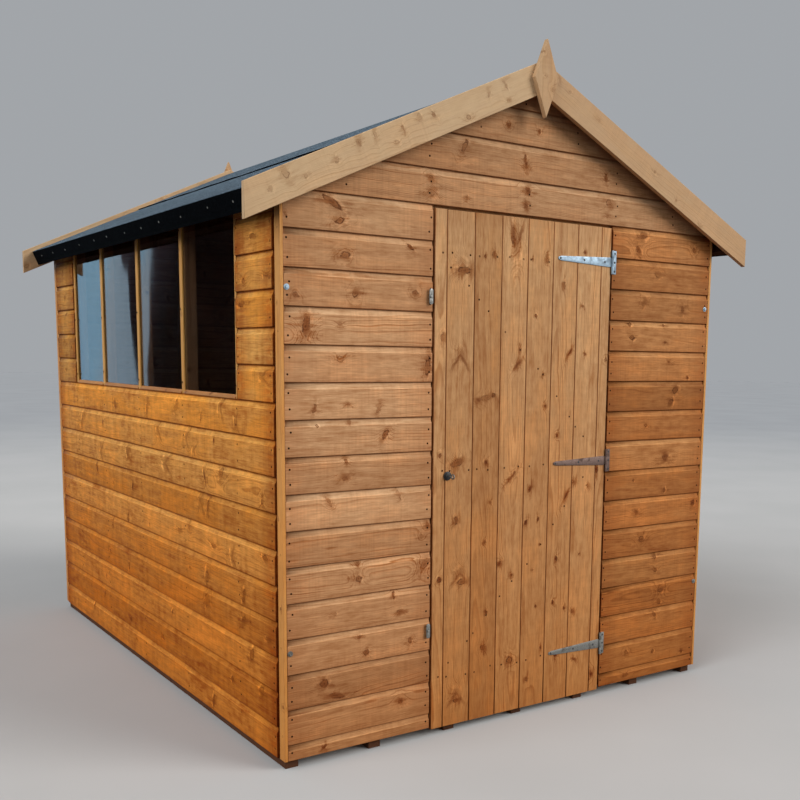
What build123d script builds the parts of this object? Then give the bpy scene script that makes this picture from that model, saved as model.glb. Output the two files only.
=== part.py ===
"""Wooden garden shed with an apex roof, built at real size.

Millimetres, +Z up, +X to the right seen from the front, the front facing -Y.
The origin is on the level floor, under the centre of the outer box.
"""
from build123d import *
import math
import os

os.makedirs("parts", exist_ok=True)

# ----------------------------------------------------------------------------
# Driving dimensions
# ----------------------------------------------------------------------------
FRONT_W = 1830.0          # width of the front and back panels
HALF_W = FRONT_W / 2
CLAD_T = 12.0             # shiplap thickness
FRAME_T = 28.0            # framing, through the wall
FRAME_W = 44.0            # framing, along the wall
COVER = 111.67            # height that one shiplap board covers
BASE_GAP = 30.0           # floor to the cladding's lower edge
BEARER_H = 45.0
BEARER_W = 44.0
FLOOR_T = 12.0
FLOOR_TOP = BEARER_H + FLOOR_T

BARGE_T = 18.0            # bargeboard thickness
FINIAL_T = 18.0
FRONT_OVERHANG = 39.4     # roof beyond the front cladding
DEPTH = 2493.0            # front cladding face to back cladding face
BACK_OVERHANG = 27.0

# front to back positions, measured from the outer box's front
TOTAL_Y = FINIAL_T + BARGE_T + FRONT_OVERHANG + DEPTH + BACK_OVERHANG + BARGE_T + FINIAL_T
Y_MIN = -TOTAL_Y / 2
Y_FIN_F = Y_MIN                        # front face of the front finial
Y_BARGE_F = Y_FIN_F + FINIAL_T         # front face of the front bargeboards
Y_DECK_F = Y_BARGE_F + BARGE_T         # front edge of the roof deck
YF = Y_DECK_F + FRONT_OVERHANG         # front cladding face
YB = YF + DEPTH                        # back cladding face
Y_DECK_B = YB + BACK_OVERHANG
Y_BARGE_B = Y_DECK_B + BARGE_T
DECK_L = Y_DECK_B - Y_DECK_F

# side walls stand between the front and back panels, their cladding outside
SIDE_OUT = HALF_W + 14.0               # outer face of the side cladding
SIDE_IN = SIDE_OUT - CLAD_T            # inner face of the side cladding
SIDE_Y0 = YF + 38.0
SIDE_Y1 = YB - 38.0
STRIP_T = 10.0                         # corner strips
STRIP_W = 37.0

# roof
SLOPE = 0.4683                         # rise over run, about 25.1 degrees
ANG = math.atan(SLOPE)
CA, SA = math.cos(ANG), math.sin(ANG)
BARGE_TOP = 2245.9                     # bargeboards' upper edge at the ridge
BARGE_H = 103.2                        # bargeboards' height, measured plumb
BARGE_HALF = 1057.0                    # ridge to the plumb-cut ends
FELT_APEX = BARGE_TOP - 20.0           # felt surface at the ridge
FELT_T = 3.0
DECK_T = 12.0
EAVE_RUN = 1015.0                      # ridge to the felt's outer corner, level
S_EAVE = EAVE_RUN / CA                 # the same along the slope
DROP = 67.0                            # felt's drop over the eave
RAIL_D = 50.0                          # eave rail, square to the slope
RAIL_T = 28.0
RIDGE_FELT = 548.0                     # ridge to the upper felt's lower edge
WALL_TOP_APEX = FELT_APEX - (FELT_T + DECK_T) / CA   # underside of the deck

# doorway and door
DOOR_X0 = 530.0 - HALF_W
DOOR_X1 = 1300.0 - HALF_W
DOOR_T = 12.0
DOOR_BOTTOM = 23.0
DOOR_TOP = 1747.0
OPEN_X0 = DOOR_X0 - 6.0
OPEN_X1 = DOOR_X1 + 6.0
HEAD_Z = 1756.4                        # lower edge of the board over the door
LEDGE_T = 20.0
LEDGE_H = 95.0
LEDGE_Z = (205.0, 907.0, 1625.0)       # ledge centres
HINGE_Z = (205.0, 906.0, 1626.0)       # hinge centres
PIN_X = DOOR_X1 + 3.0                  # door's turning axis
PIN_Y = YF - 5.0
KNUCKLE_R = 4.5
PIN_R = 2.2
STRAP_T = 2.5
STRAP_L = 255.0
PLATE_H = 83.0
PLATE_W = 15.0

# turn buttons
BUTTON_X = 512.0 - HALF_W
BUTTON_Z = (372.0, 1469.0)
BUTTON_L = 50.0
BUTTON_W = 14.0
BUTTON_T = 3.0
BUTTON_GAP = 6.0                       # cladding face to the button's back

# window in the left wall
WIN_Y0 = YF + 325.0
WIN_Y1 = YF + 2150.0
WIN_Z0 = BASE_GAP + 101.6 + 9 * COVER  # top edge of the wall below
WIN_Z1 = 1722.0
MULLIONS = (YF + 797.0, YF + 1272.0, YF + 1739.0)
BEAD_W = 26.0
JAMB = 10.0                            # how far the jamb battens reach past the opening
MULLION_W = 28.0                       # window posts stand on edge: along the wall
MULLION_D = 44.0                       # and through it


def under_deck(x):
    """Height of the deck's underside over a point at x."""
    return WALL_TOP_APEX - SLOPE * abs(x)


def slope_pt(side, s, d):
    """A point s down the slope from the ridge and d below the felt's surface."""
    return (side * (s * CA - d * SA), FELT_APEX - s * SA - d * CA)


def ridge_pt(d):
    """The point on the ridge's plumb line at depth d below the felt."""
    return (0.0, FELT_APEX - d / CA)


# ----------------------------------------------------------------------------
# Floor
# ----------------------------------------------------------------------------
FLOOR_Y0 = YF + 18.0
FLOOR_Y1 = YB - CLAD_T
FLOOR_L = FLOOR_Y1 - FLOOR_Y0
BEARER_X = [-HALF_W + BEARER_W / 2 + i * (FRONT_W - BEARER_W) / 6 for i in range(7)]

with BuildPart() as floor_bearers:
    with BuildSketch(Plane.XY):
        with Locations(*[(x, (FLOOR_Y0 + FLOOR_Y1) / 2) for x in BEARER_X]):
            Rectangle(BEARER_W, FLOOR_L)
    extrude(amount=BEARER_H)
floor_bearers.part.label = "floor_bearers"
export_step(floor_bearers.part, "parts/floor_bearers.step")

with BuildPart() as floor_boards:
    with BuildSketch(Plane.XY.offset(BEARER_H)):
        with Locations((0, (FLOOR_Y0 + FLOOR_Y1) / 2)):
            Rectangle(FRONT_W, FLOOR_L)
    extrude(amount=FLOOR_T)
floor_boards.part.label = "floor_boards"
export_step(floor_boards.part, "parts/floor_boards.step")

# ----------------------------------------------------------------------------
# Front panel: shiplap beside and over the doorway
# ----------------------------------------------------------------------------
with BuildPart() as front_cladding_left:
    with BuildSketch(Plane.XY.offset(BASE_GAP)):
        with Locations(((-HALF_W + OPEN_X0) / 2, YF + CLAD_T / 2)):
            Rectangle(OPEN_X0 + HALF_W, CLAD_T)
    extrude(amount=HEAD_Z - BASE_GAP)
front_cladding_left.part.label = "front_cladding_left"
export_step(front_cladding_left.part, "parts/front_cladding_left.step")

with BuildPart() as front_cladding_right:
    with BuildSketch(Plane.XY.offset(BASE_GAP)):
        with Locations(((HALF_W + OPEN_X1) / 2, YF + CLAD_T / 2)):
            Rectangle(HALF_W - OPEN_X1, CLAD_T)
    extrude(amount=HEAD_Z - BASE_GAP)
front_cladding_right.part.label = "front_cladding_right"
export_step(front_cladding_right.part, "parts/front_cladding_right.step")

with BuildPart() as front_gable_cladding:
    with BuildSketch(Plane.XZ.offset(-YF)):
        with BuildLine():
            Polyline(
                (-HALF_W, HEAD_Z),
                (HALF_W, HEAD_Z),
                (HALF_W, under_deck(HALF_W)),
                (0, under_deck(0)),
                (-HALF_W, under_deck(HALF_W)),
                close=True,
            )
        make_face()
    extrude(amount=-CLAD_T)
front_gable_cladding.part.label = "front_gable_cladding"
export_step(front_gable_cladding.part, "parts/front_gable_cladding.step")

# ----------------------------------------------------------------------------
# Back and right walls
# ----------------------------------------------------------------------------
with BuildPart() as back_cladding:
    with BuildSketch(Plane.XZ.offset(-(YB - CLAD_T))):
        with BuildLine():
            Polyline(
                (-HALF_W, BASE_GAP),
                (HALF_W, BASE_GAP),
                (HALF_W, under_deck(HALF_W)),
                (0, under_deck(0)),
                (-HALF_W, under_deck(HALF_W)),
                close=True,
            )
        make_face()
    extrude(amount=-CLAD_T)
back_cladding.part.label = "back_cladding"
export_step(back_cladding.part, "parts/back_cladding.step")

SIDE_TOP = under_deck(SIDE_OUT) - 1.0

with BuildPart() as right_cladding:
    with BuildSketch(Plane.XY.offset(BASE_GAP)):
        with Locations((SIDE_OUT - CLAD_T / 2, (SIDE_Y0 + SIDE_Y1) / 2)):
            Rectangle(CLAD_T, SIDE_Y1 - SIDE_Y0)
    extrude(amount=SIDE_TOP - BASE_GAP)
right_cladding.part.label = "right_cladding"
export_step(right_cladding.part, "parts/right_cladding.step")

# ----------------------------------------------------------------------------
# Left wall: shiplap below, before, behind and over the window
# ----------------------------------------------------------------------------
with BuildPart() as left_cladding_lower:
    with BuildSketch(Plane.XY.offset(BASE_GAP)):
        with Locations((-SIDE_OUT + CLAD_T / 2, (SIDE_Y0 + SIDE_Y1) / 2)):
            Rectangle(CLAD_T, SIDE_Y1 - SIDE_Y0)
    extrude(amount=WIN_Z0 - BASE_GAP)
left_cladding_lower.part.label = "left_cladding_lower"
export_step(left_cladding_lower.part, "parts/left_cladding_lower.step")

with BuildPart() as left_cladding_front:
    with BuildSketch(Plane.XY.offset(WIN_Z0)):
        with Locations((-SIDE_OUT + CLAD_T / 2, (SIDE_Y0 + WIN_Y0 - JAMB) / 2)):
            Rectangle(CLAD_T, WIN_Y0 - JAMB - SIDE_Y0)
    extrude(amount=SIDE_TOP - WIN_Z0)
left_cladding_front.part.label = "left_cladding_front"
export_step(left_cladding_front.part, "parts/left_cladding_front.step")

with BuildPart() as left_cladding_back:
    with BuildSketch(Plane.XY.offset(WIN_Z0)):
        with Locations((-SIDE_OUT + CLAD_T / 2, (SIDE_Y1 + WIN_Y1 + JAMB) / 2)):
            Rectangle(CLAD_T, SIDE_Y1 - WIN_Y1 - JAMB)
    extrude(amount=SIDE_TOP - WIN_Z0)
left_cladding_back.part.label = "left_cladding_back"
export_step(left_cladding_back.part, "parts/left_cladding_back.step")

# the strip over the panes is set back behind the beads
TOP_STRIP_T = 4.0
with BuildPart() as left_cladding_top:
    with BuildSketch(Plane.XY.offset(WIN_Z1)):
        with Locations((-SIDE_IN - TOP_STRIP_T / 2, (WIN_Y0 + WIN_Y1) / 2)):
            Rectangle(TOP_STRIP_T, WIN_Y1 - WIN_Y0 + 2 * JAMB - 1.0)
    extrude(amount=SIDE_TOP - WIN_Z1)
left_cladding_top.part.label = "left_cladding_top"
export_step(left_cladding_top.part, "parts/left_cladding_top.step")

# ----------------------------------------------------------------------------
# Front frame
# ----------------------------------------------------------------------------
FRAME_YF = YF + CLAD_T + FRAME_T / 2       # centre line of the front frame
FRAME_YB = YB - CLAD_T - FRAME_T / 2
CORNER_TOP = under_deck(HALF_W) - 1.0
DOOR_POST_X = (OPEN_X0 - FRAME_W / 2, OPEN_X1 + FRAME_W / 2)
CORNER_X = HALF_W - FRAME_W / 2
HEAD_RAIL_Z = HEAD_Z

with BuildPart() as front_posts:
    with BuildSketch(Plane.XY.offset(FLOOR_TOP)):
        with Locations((-CORNER_X, FRAME_YF), (CORNER_X, FRAME_YF)):
            Rectangle(FRAME_W, FRAME_T)
    extrude(amount=CORNER_TOP - FLOOR_TOP)
    with BuildSketch(Plane.XY.offset(FLOOR_TOP)):
        with Locations((DOOR_POST_X[0], FRAME_YF), (DOOR_POST_X[1], FRAME_YF)):
            Rectangle(FRAME_W, FRAME_T)
    extrude(amount=HEAD_RAIL_Z - FLOOR_TOP)
front_posts.part.label = "front_posts"
export_step(front_posts.part, "parts/front_posts.step")

# bottom and middle rails beside the doorway, and the rail over it
LEFT_BAY = (-HALF_W + FRAME_W, OPEN_X0 - FRAME_W)
RIGHT_BAY = (OPEN_X1 + FRAME_W, HALF_W - FRAME_W)
MID_RAIL_Z = 890.0
with BuildPart() as front_rails:
    for z in (FLOOR_TOP, MID_RAIL_Z):
        with BuildSketch(Plane.XY.offset(z)):
            for bay in (LEFT_BAY, RIGHT_BAY):
                with Locations(((bay[0] + bay[1]) / 2, FRAME_YF)):
                    Rectangle(bay[1] - bay[0], FRAME_T)
        extrude(amount=FRAME_W)
    with BuildSketch(Plane.XY.offset(HEAD_RAIL_Z)):
        with Locations((0, FRAME_YF)):
            Rectangle(FRONT_W - 2 * FRAME_W, FRAME_T)
    extrude(amount=min(FRAME_W, under_deck(HALF_W - FRAME_W) - HEAD_RAIL_Z - 0.3))
front_rails.part.label = "front_rails"
export_step(front_rails.part, "parts/front_rails.step")

# sloping battens under the deck, from the head rail to a joint at the ridge
HEAD_TOP = HEAD_RAIL_Z + FRAME_W + 1.0
RAFTER_D = 44.0


def rafter_outline(side):
    """Corners of one sloping batten: under the deck, over the head rail."""
    top_x = (WALL_TOP_APEX - HEAD_TOP) / SLOPE - 2.0
    low_apex = WALL_TOP_APEX - RAFTER_D / CA
    low_x = (low_apex - HEAD_TOP) / SLOPE
    return [
        (side * 0.5, WALL_TOP_APEX - SLOPE * 0.5),
        (side * top_x, WALL_TOP_APEX - SLOPE * top_x),
        (side * top_x, HEAD_TOP),
        (side * low_x, HEAD_TOP),
        (side * 0.5, low_apex - SLOPE * 0.5),
    ]


with BuildPart() as front_rafters:
    with BuildSketch(Plane.XZ.offset(-(YF + CLAD_T))):
        for side in (-1, 1):
            with BuildLine():
                Polyline(*rafter_outline(side), close=True)
            make_face()
    extrude(amount=-FRAME_T)
front_rafters.part.label = "front_rafters"
export_step(front_rafters.part, "parts/front_rafters.step")

# thin stops behind the door's left and top edges
STOP_Y0 = YF + DOOR_T + 6.0
STOP_D = CLAD_T + FRAME_T - DOOR_T - 6.0
with BuildPart() as door_stops:
    with BuildSketch(Plane.XY.offset(FLOOR_TOP)):
        with Locations((OPEN_X0 + 6.0, STOP_Y0 + STOP_D / 2)):
            Rectangle(12.0, STOP_D)
    extrude(amount=HEAD_RAIL_Z - FLOOR_TOP)
    with BuildSketch(Plane.XY.offset(HEAD_RAIL_Z - 18.0)):
        with Locations(((OPEN_X0 + 13.0 + OPEN_X1) / 2, STOP_Y0 + STOP_D / 2)):
            Rectangle(OPEN_X1 - OPEN_X0 - 13.0, STOP_D)
    extrude(amount=18.0)
door_stops.part.label = "door_stops"
export_step(door_stops.part, "parts/door_stops.step")

# ----------------------------------------------------------------------------
# Back frame
# ----------------------------------------------------------------------------
BACK_POST_X = (-305.0, 305.0)
with BuildPart() as back_posts:
    with BuildSketch(Plane.XY.offset(FLOOR_TOP)):
        with Locations((-CORNER_X, FRAME_YB), (CORNER_X, FRAME_YB)):
            Rectangle(FRAME_W, FRAME_T)
    extrude(amount=CORNER_TOP - FLOOR_TOP)
    with BuildSketch(Plane.XY.offset(FLOOR_TOP + FRAME_W)):
        with Locations(*[(x, FRAME_YB) for x in BACK_POST_X]):
            Rectangle(FRAME_W, FRAME_T)
    extrude(amount=HEAD_RAIL_Z - FLOOR_TOP - FRAME_W)
back_posts.part.label = "back_posts"
export_step(back_posts.part, "parts/back_posts.step")

BACK_BAYS = [
    (-HALF_W + FRAME_W, BACK_POST_X[0] - FRAME_W / 2),
    (BACK_POST_X[0] + FRAME_W / 2, BACK_POST_X[1] - FRAME_W / 2),
    (BACK_POST_X[1] + FRAME_W / 2, HALF_W - FRAME_W),
]
with BuildPart() as back_rails:
    for z in (FLOOR_TOP, HEAD_RAIL_Z):
        with BuildSketch(Plane.XY.offset(z)):
            with Locations((0, FRAME_YB)):
                Rectangle(FRONT_W - 2 * FRAME_W, FRAME_T)
        extrude(amount=min(FRAME_W, under_deck(HALF_W - FRAME_W) - HEAD_RAIL_Z - 0.3)
                if z == HEAD_RAIL_Z else FRAME_W)
    with BuildSketch(Plane.XY.offset(MID_RAIL_Z)):
        for bay in BACK_BAYS:
            with Locations(((bay[0] + bay[1]) / 2, FRAME_YB)):
                Rectangle(bay[1] - bay[0], FRAME_T)
    extrude(amount=FRAME_W)
back_rails.part.label = "back_rails"
export_step(back_rails.part, "parts/back_rails.step")

with BuildPart() as back_rafters:
    with BuildSketch(Plane.XZ.offset(-(YB - CLAD_T - FRAME_T))):
        for side in (-1, 1):
            with BuildLine():
                Polyline(*rafter_outline(side), close=True)
            make_face()
    extrude(amount=-FRAME_T)
back_rafters.part.label = "back_rafters"
export_step(back_rafters.part, "parts/back_rafters.step")

# ----------------------------------------------------------------------------
# Side frames, between the front and back frames
# ----------------------------------------------------------------------------
SIDE_FRAME_X = SIDE_IN - FRAME_T / 2
BAY_Y0 = YF + CLAD_T + FRAME_T
BAY_Y1 = YB - CLAD_T - FRAME_T
SIDE_RAIL_TOP = under_deck(SIDE_IN) - 2.0       # top of the side frames
POST_Z0 = FLOOR_TOP + FRAME_W
POST_Z1 = SIDE_RAIL_TOP - FRAME_W
SIDE_POST_Y = [BAY_Y0 + FRAME_W / 2 + i * (BAY_Y1 - BAY_Y0 - FRAME_W) / 4 for i in range(5)]

with BuildPart() as right_posts:
    with BuildSketch(Plane.XY.offset(POST_Z0)):
        with Locations(*[(SIDE_FRAME_X, y) for y in SIDE_POST_Y]):
            Rectangle(FRAME_T, FRAME_W)
    extrude(amount=POST_Z1 - POST_Z0)
right_posts.part.label = "right_posts"
export_step(right_posts.part, "parts/right_posts.step")

with BuildPart() as right_rails:
    for z in (FLOOR_TOP, POST_Z1):
        with BuildSketch(Plane.XY.offset(z)):
            with Locations((SIDE_FRAME_X, (BAY_Y0 + BAY_Y1) / 2)):
                Rectangle(FRAME_T, BAY_Y1 - BAY_Y0)
        extrude(amount=FRAME_W)
    with BuildSketch(Plane.XY.offset(MID_RAIL_Z)):
        for a, b in zip(SIDE_POST_Y, SIDE_POST_Y[1:]):
            with Locations((SIDE_FRAME_X, (a + b) / 2)):
                Rectangle(FRAME_T, b - a - FRAME_W)
    extrude(amount=FRAME_W)
right_rails.part.label = "right_rails"
export_step(right_rails.part, "parts/right_rails.step")

# left frame: flat posts at the corners, and deeper ones on edge beside the
# window and between the panes
LEFT_CORNER_Y = (SIDE_POST_Y[0], SIDE_POST_Y[-1])
WINDOW_POST_Y = (WIN_Y0 - MULLION_W / 2 + 6.0, *MULLIONS, WIN_Y1 + MULLION_W / 2 - 6.0)
with BuildPart() as left_posts:
    with BuildSketch(Plane.XY.offset(POST_Z0)):
        with Locations(*[(-SIDE_FRAME_X, y) for y in LEFT_CORNER_Y]):
            Rectangle(FRAME_T, FRAME_W)
        with Locations(*[(-SIDE_IN + MULLION_D / 2, y) for y in WINDOW_POST_Y]):
            Rectangle(MULLION_D, MULLION_W)
    extrude(amount=POST_Z1 - POST_Z0)
left_posts.part.label = "left_posts"
export_step(left_posts.part, "parts/left_posts.step")

# spans of the rail under the sill, from post to post
SILL_SPANS = []
SILL_FROM = LEFT_CORNER_Y[0] + FRAME_W / 2
for y in WINDOW_POST_Y:
    SILL_SPANS.append((SILL_FROM, y - MULLION_W / 2))
    SILL_FROM = y + MULLION_W / 2
SILL_SPANS.append((SILL_FROM, LEFT_CORNER_Y[1] - FRAME_W / 2))

SILL_RAIL_Z = WIN_Z0 - FRAME_W + 2.0
with BuildPart() as left_rails:
    for z in (FLOOR_TOP, POST_Z1):
        with BuildSketch(Plane.XY.offset(z)):
            with Locations((-SIDE_FRAME_X, (BAY_Y0 + BAY_Y1) / 2)):
                Rectangle(FRAME_T, BAY_Y1 - BAY_Y0)
        extrude(amount=FRAME_W)
    with BuildSketch(Plane.XY.offset(SILL_RAIL_Z)):
        for a, b in SILL_SPANS:
            with Locations((-SIDE_FRAME_X, (a + b) / 2)):
                Rectangle(FRAME_T, b - a)
    extrude(amount=FRAME_W)
left_rails.part.label = "left_rails"
export_step(left_rails.part, "parts/left_rails.step")

# ----------------------------------------------------------------------------
# Window: sloping sill, four panes, and the battens that hold them
# ----------------------------------------------------------------------------
GLASS_T = 2.0
GLASS_OUT = SIDE_IN + GLASS_T          # outer face of the panes
SILL_H = 14.0
SILL_LIP = 4.0
SILL_OUT = SIDE_OUT
SILL_IN = GLASS_OUT + 0.5
BEAD_IN = GLASS_OUT + 0.3
BEAD_OUT = BEAD_IN + 5.7
BEAD_SPANS = [(WIN_Y0 - JAMB + 0.5, WIN_Y0 + 4.0)]
BEAD_SPANS += [(y - BEAD_W / 2, y + BEAD_W / 2) for y in MULLIONS]
BEAD_SPANS.append((WIN_Y1 - 12.0, WIN_Y1 + JAMB - 0.5))

# one length of sill between each two battens
with BuildPart() as window_sill:
    for (_, y0), (y1, _) in zip(BEAD_SPANS, BEAD_SPANS[1:]):
        with BuildSketch(Plane.XZ.offset(-(y0 + 0.3))):
            with BuildLine():
                Polyline(
                    (-SILL_OUT, WIN_Z0),
                    (-SILL_IN, WIN_Z0),
                    (-SILL_IN, WIN_Z0 + SILL_H),
                    (-SILL_OUT, WIN_Z0 + SILL_LIP),
                    close=True,
                )
            make_face()
        extrude(amount=-(y1 - y0 - 0.6))
window_sill.part.label = "window_sill"
export_step(window_sill.part, "parts/window_sill.step")

# the panes lie on the outside of the posts
PANE_EDGES = [WIN_Y0 - 2.0, *MULLIONS, WIN_Y1 + 2.0]
with BuildPart() as window_glass:
    with BuildSketch(Plane.XY.offset(WIN_Z0 + 4.0)):
        for a, b in zip(PANE_EDGES, PANE_EDGES[1:]):
            with Locations((-SIDE_IN - GLASS_T / 2, (a + b) / 2)):
                Rectangle(GLASS_T, b - a - 3.0)
    extrude(amount=WIN_Z1 - WIN_Z0 - 5.0)
window_glass.part.label = "window_glass"
export_step(window_glass.part, "parts/window_glass.step")

# each batten stands on the wall below and is notched over the strip at the
# window's head
BEAD_NOTCH = SIDE_IN + TOP_STRIP_T + 0.3
with BuildPart() as window_beads:
    for y0, y1 in BEAD_SPANS:
        with BuildSketch(Plane.XZ.offset(-y0)):
            with BuildLine():
                Polyline(
                    (-BEAD_OUT, WIN_Z0),
                    (-BEAD_IN, WIN_Z0),
                    (-BEAD_IN, WIN_Z1 - 0.3),
                    (-BEAD_NOTCH, WIN_Z1 - 0.3),
                    (-BEAD_NOTCH, SIDE_TOP),
                    (-BEAD_OUT, SIDE_TOP),
                    close=True,
                )
            make_face()
        extrude(amount=-(y1 - y0))
window_beads.part.label = "window_beads"
export_step(window_beads.part, "parts/window_beads.step")

# ----------------------------------------------------------------------------
# Roof
# ----------------------------------------------------------------------------
S1 = S_EAVE - FELT_T                   # deck's edge along the slope


def deck_outline(side):
    return [
        ridge_pt(FELT_T),
        slope_pt(side, S1, FELT_T),
        slope_pt(side, S1, FELT_T + DECK_T),
        ridge_pt(FELT_T + DECK_T),
    ]


with BuildPart() as roof_deck_left:
    with BuildSketch(Plane.XZ.offset(-Y_DECK_F)):
        with BuildLine():
            Polyline(*deck_outline(-1), close=True)
        make_face()
    extrude(amount=-DECK_L)
roof_deck_left.part.label = "roof_deck_left"
export_step(roof_deck_left.part, "parts/roof_deck_left.step")

with BuildPart() as roof_deck_right:
    with BuildSketch(Plane.XZ.offset(-Y_DECK_F)):
        with BuildLine():
            Polyline(*deck_outline(1), close=True)
        make_face()
    extrude(amount=-DECK_L)
roof_deck_right.part.label = "roof_deck_right"
export_step(roof_deck_right.part, "parts/roof_deck_right.step")

with BuildPart() as eave_rails:
    with BuildSketch(Plane.XZ.offset(-Y_DECK_F)):
        for side in (-1, 1):
            with BuildLine():
                Polyline(
                    slope_pt(side, S1, FELT_T + DECK_T),
                    slope_pt(side, S1, FELT_T + DECK_T + RAIL_D),
                    slope_pt(side, S1 - RAIL_T, FELT_T + DECK_T + RAIL_D),
                    slope_pt(side, S1 - RAIL_T, FELT_T + DECK_T),
                    close=True,
                )
            make_face()
    extrude(amount=-DECK_L)
eave_rails.part.label = "eave_rails"
export_step(eave_rails.part, "parts/eave_rails.step")

# purlins inside, between the gable frames
PURLIN_S = (36.0, 540.0)
with BuildPart() as roof_purlins:
    with BuildSketch(Plane.XZ.offset(-BAY_Y0)):
        for side in (-1, 1):
            for s in PURLIN_S:
                with BuildLine():
                    Polyline(
                        slope_pt(side, s, FELT_T + DECK_T),
                        slope_pt(side, s, FELT_T + DECK_T + FRAME_W),
                        slope_pt(side, s + FRAME_T, FELT_T + DECK_T + FRAME_W),
                        slope_pt(side, s + FRAME_T, FELT_T + DECK_T),
                        close=True,
                    )
                make_face()
    extrude(amount=-(BAY_Y1 - BAY_Y0))
roof_purlins.part.label = "roof_purlins"
export_step(roof_purlins.part, "parts/roof_purlins.step")

# lower widths of felt: from a lap under the ridge width, out over the deck and
# down over the eave rail
LAP = 80.0
FELT_S0 = RIDGE_FELT - LAP


def felt_outline(side):
    return [
        slope_pt(side, FELT_S0, 1.5),
        slope_pt(side, RIDGE_FELT + 12.0, 1.0),
        slope_pt(side, S_EAVE - 2.5, 0.0),
        slope_pt(side, S_EAVE - 0.7, 0.7),
        slope_pt(side, S_EAVE, 2.5),
        slope_pt(side, S_EAVE, DROP),
        slope_pt(side, S1, DROP),
        slope_pt(side, S1, FELT_T),
        slope_pt(side, FELT_S0, FELT_T),
    ]


with BuildPart() as felt_left:
    with BuildSketch(Plane.XZ.offset(-Y_DECK_F)):
        with BuildLine():
            Polyline(*felt_outline(-1), close=True)
        make_face()
    extrude(amount=-DECK_L)
felt_left.part.label = "felt_left"
export_step(felt_left.part, "parts/felt_left.step")

with BuildPart() as felt_right:
    with BuildSketch(Plane.XZ.offset(-Y_DECK_F)):
        with BuildLine():
            Polyline(*felt_outline(1), close=True)
        make_face()
    extrude(amount=-DECK_L)
felt_right.part.label = "felt_right"
export_step(felt_right.part, "parts/felt_right.step")

# upper width over the ridge: it lies on the deck, then laps over the lower ones
with BuildPart() as felt_ridge:
    with BuildSketch(Plane.XZ.offset(-Y_DECK_F)):
        with BuildLine():
            Polyline(
                ridge_pt(-1.5),
                slope_pt(1, RIDGE_FELT, -1.5),
                slope_pt(1, RIDGE_FELT, 0.9),
                slope_pt(1, FELT_S0 - 1.0, 1.2),
                slope_pt(1, FELT_S0 - 1.0, FELT_T),
                ridge_pt(FELT_T),
                slope_pt(-1, FELT_S0 - 1.0, FELT_T),
                slope_pt(-1, FELT_S0 - 1.0, 1.2),
                slope_pt(-1, RIDGE_FELT, 0.9),
                slope_pt(-1, RIDGE_FELT, -1.5),
                close=True,
            )
        make_face()
    extrude(amount=-DECK_L)
felt_ridge.part.label = "felt_ridge"
export_step(felt_ridge.part, "parts/felt_ridge.step")


def barge_outline(side):
    end = BARGE_TOP - SLOPE * BARGE_HALF
    return [
        (0, BARGE_TOP),
        (side * BARGE_HALF, end),
        (side * BARGE_HALF, end - BARGE_H),
        (0, BARGE_TOP - BARGE_H),
    ]


with BuildPart() as front_bargeboard_left:
    with BuildSketch(Plane.XZ.offset(-Y_BARGE_F)):
        with BuildLine():
            Polyline(*barge_outline(-1), close=True)
        make_face()
    extrude(amount=-BARGE_T)
front_bargeboard_left.part.label = "front_bargeboard_left"
export_step(front_bargeboard_left.part, "parts/front_bargeboard_left.step")

with BuildPart() as front_bargeboard_right:
    with BuildSketch(Plane.XZ.offset(-Y_BARGE_F)):
        with BuildLine():
            Polyline(*barge_outline(1), close=True)
        make_face()
    extrude(amount=-BARGE_T)
front_bargeboard_right.part.label = "front_bargeboard_right"
export_step(front_bargeboard_right.part, "parts/front_bargeboard_right.step")

with BuildPart() as back_bargeboard_left:
    with BuildSketch(Plane.XZ.offset(-Y_DECK_B)):
        with BuildLine():
            Polyline(*barge_outline(-1), close=True)
        make_face()
    extrude(amount=-BARGE_T)
back_bargeboard_left.part.label = "back_bargeboard_left"
export_step(back_bargeboard_left.part, "parts/back_bargeboard_left.step")

with BuildPart() as back_bargeboard_right:
    with BuildSketch(Plane.XZ.offset(-Y_DECK_B)):
        with BuildLine():
            Polyline(*barge_outline(1), close=True)
        make_face()
    extrude(amount=-BARGE_T)
back_bargeboard_right.part.label = "back_bargeboard_right"
export_step(back_bargeboard_right.part, "parts/back_bargeboard_right.step")

# diamond finials on the bargeboards' faces
FINIAL_Z = 2185.0
FINIAL_UP = 125.0
FINIAL_DOWN = 123.0
FINIAL_HALF = 50.0
with BuildPart() as front_finial:
    with BuildSketch(Plane.XZ.offset(-Y_FIN_F)):
        with BuildLine():
            Polyline(
                (0, FINIAL_Z + FINIAL_UP),
                (FINIAL_HALF, FINIAL_Z),
                (0, FINIAL_Z - FINIAL_DOWN),
                (-FINIAL_HALF, FINIAL_Z),
                close=True,
            )
        make_face()
    extrude(amount=-FINIAL_T)
front_finial.part.label = "front_finial"
export_step(front_finial.part, "parts/front_finial.step")

# the back one is nailed on a little lower
BACK_FINIAL_Z = FINIAL_Z - 20.0
with BuildPart() as back_finial:
    with BuildSketch(Plane.XZ.offset(-Y_BARGE_B)):
        with BuildLine():
            Polyline(
                (0, BACK_FINIAL_Z + FINIAL_UP),
                (FINIAL_HALF, BACK_FINIAL_Z),
                (0, BACK_FINIAL_Z - FINIAL_DOWN),
                (-FINIAL_HALF, BACK_FINIAL_Z),
                close=True,
            )
        make_face()
    extrude(amount=-FINIAL_T)
back_finial.part.label = "back_finial"
export_step(back_finial.part, "parts/back_finial.step")

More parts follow.
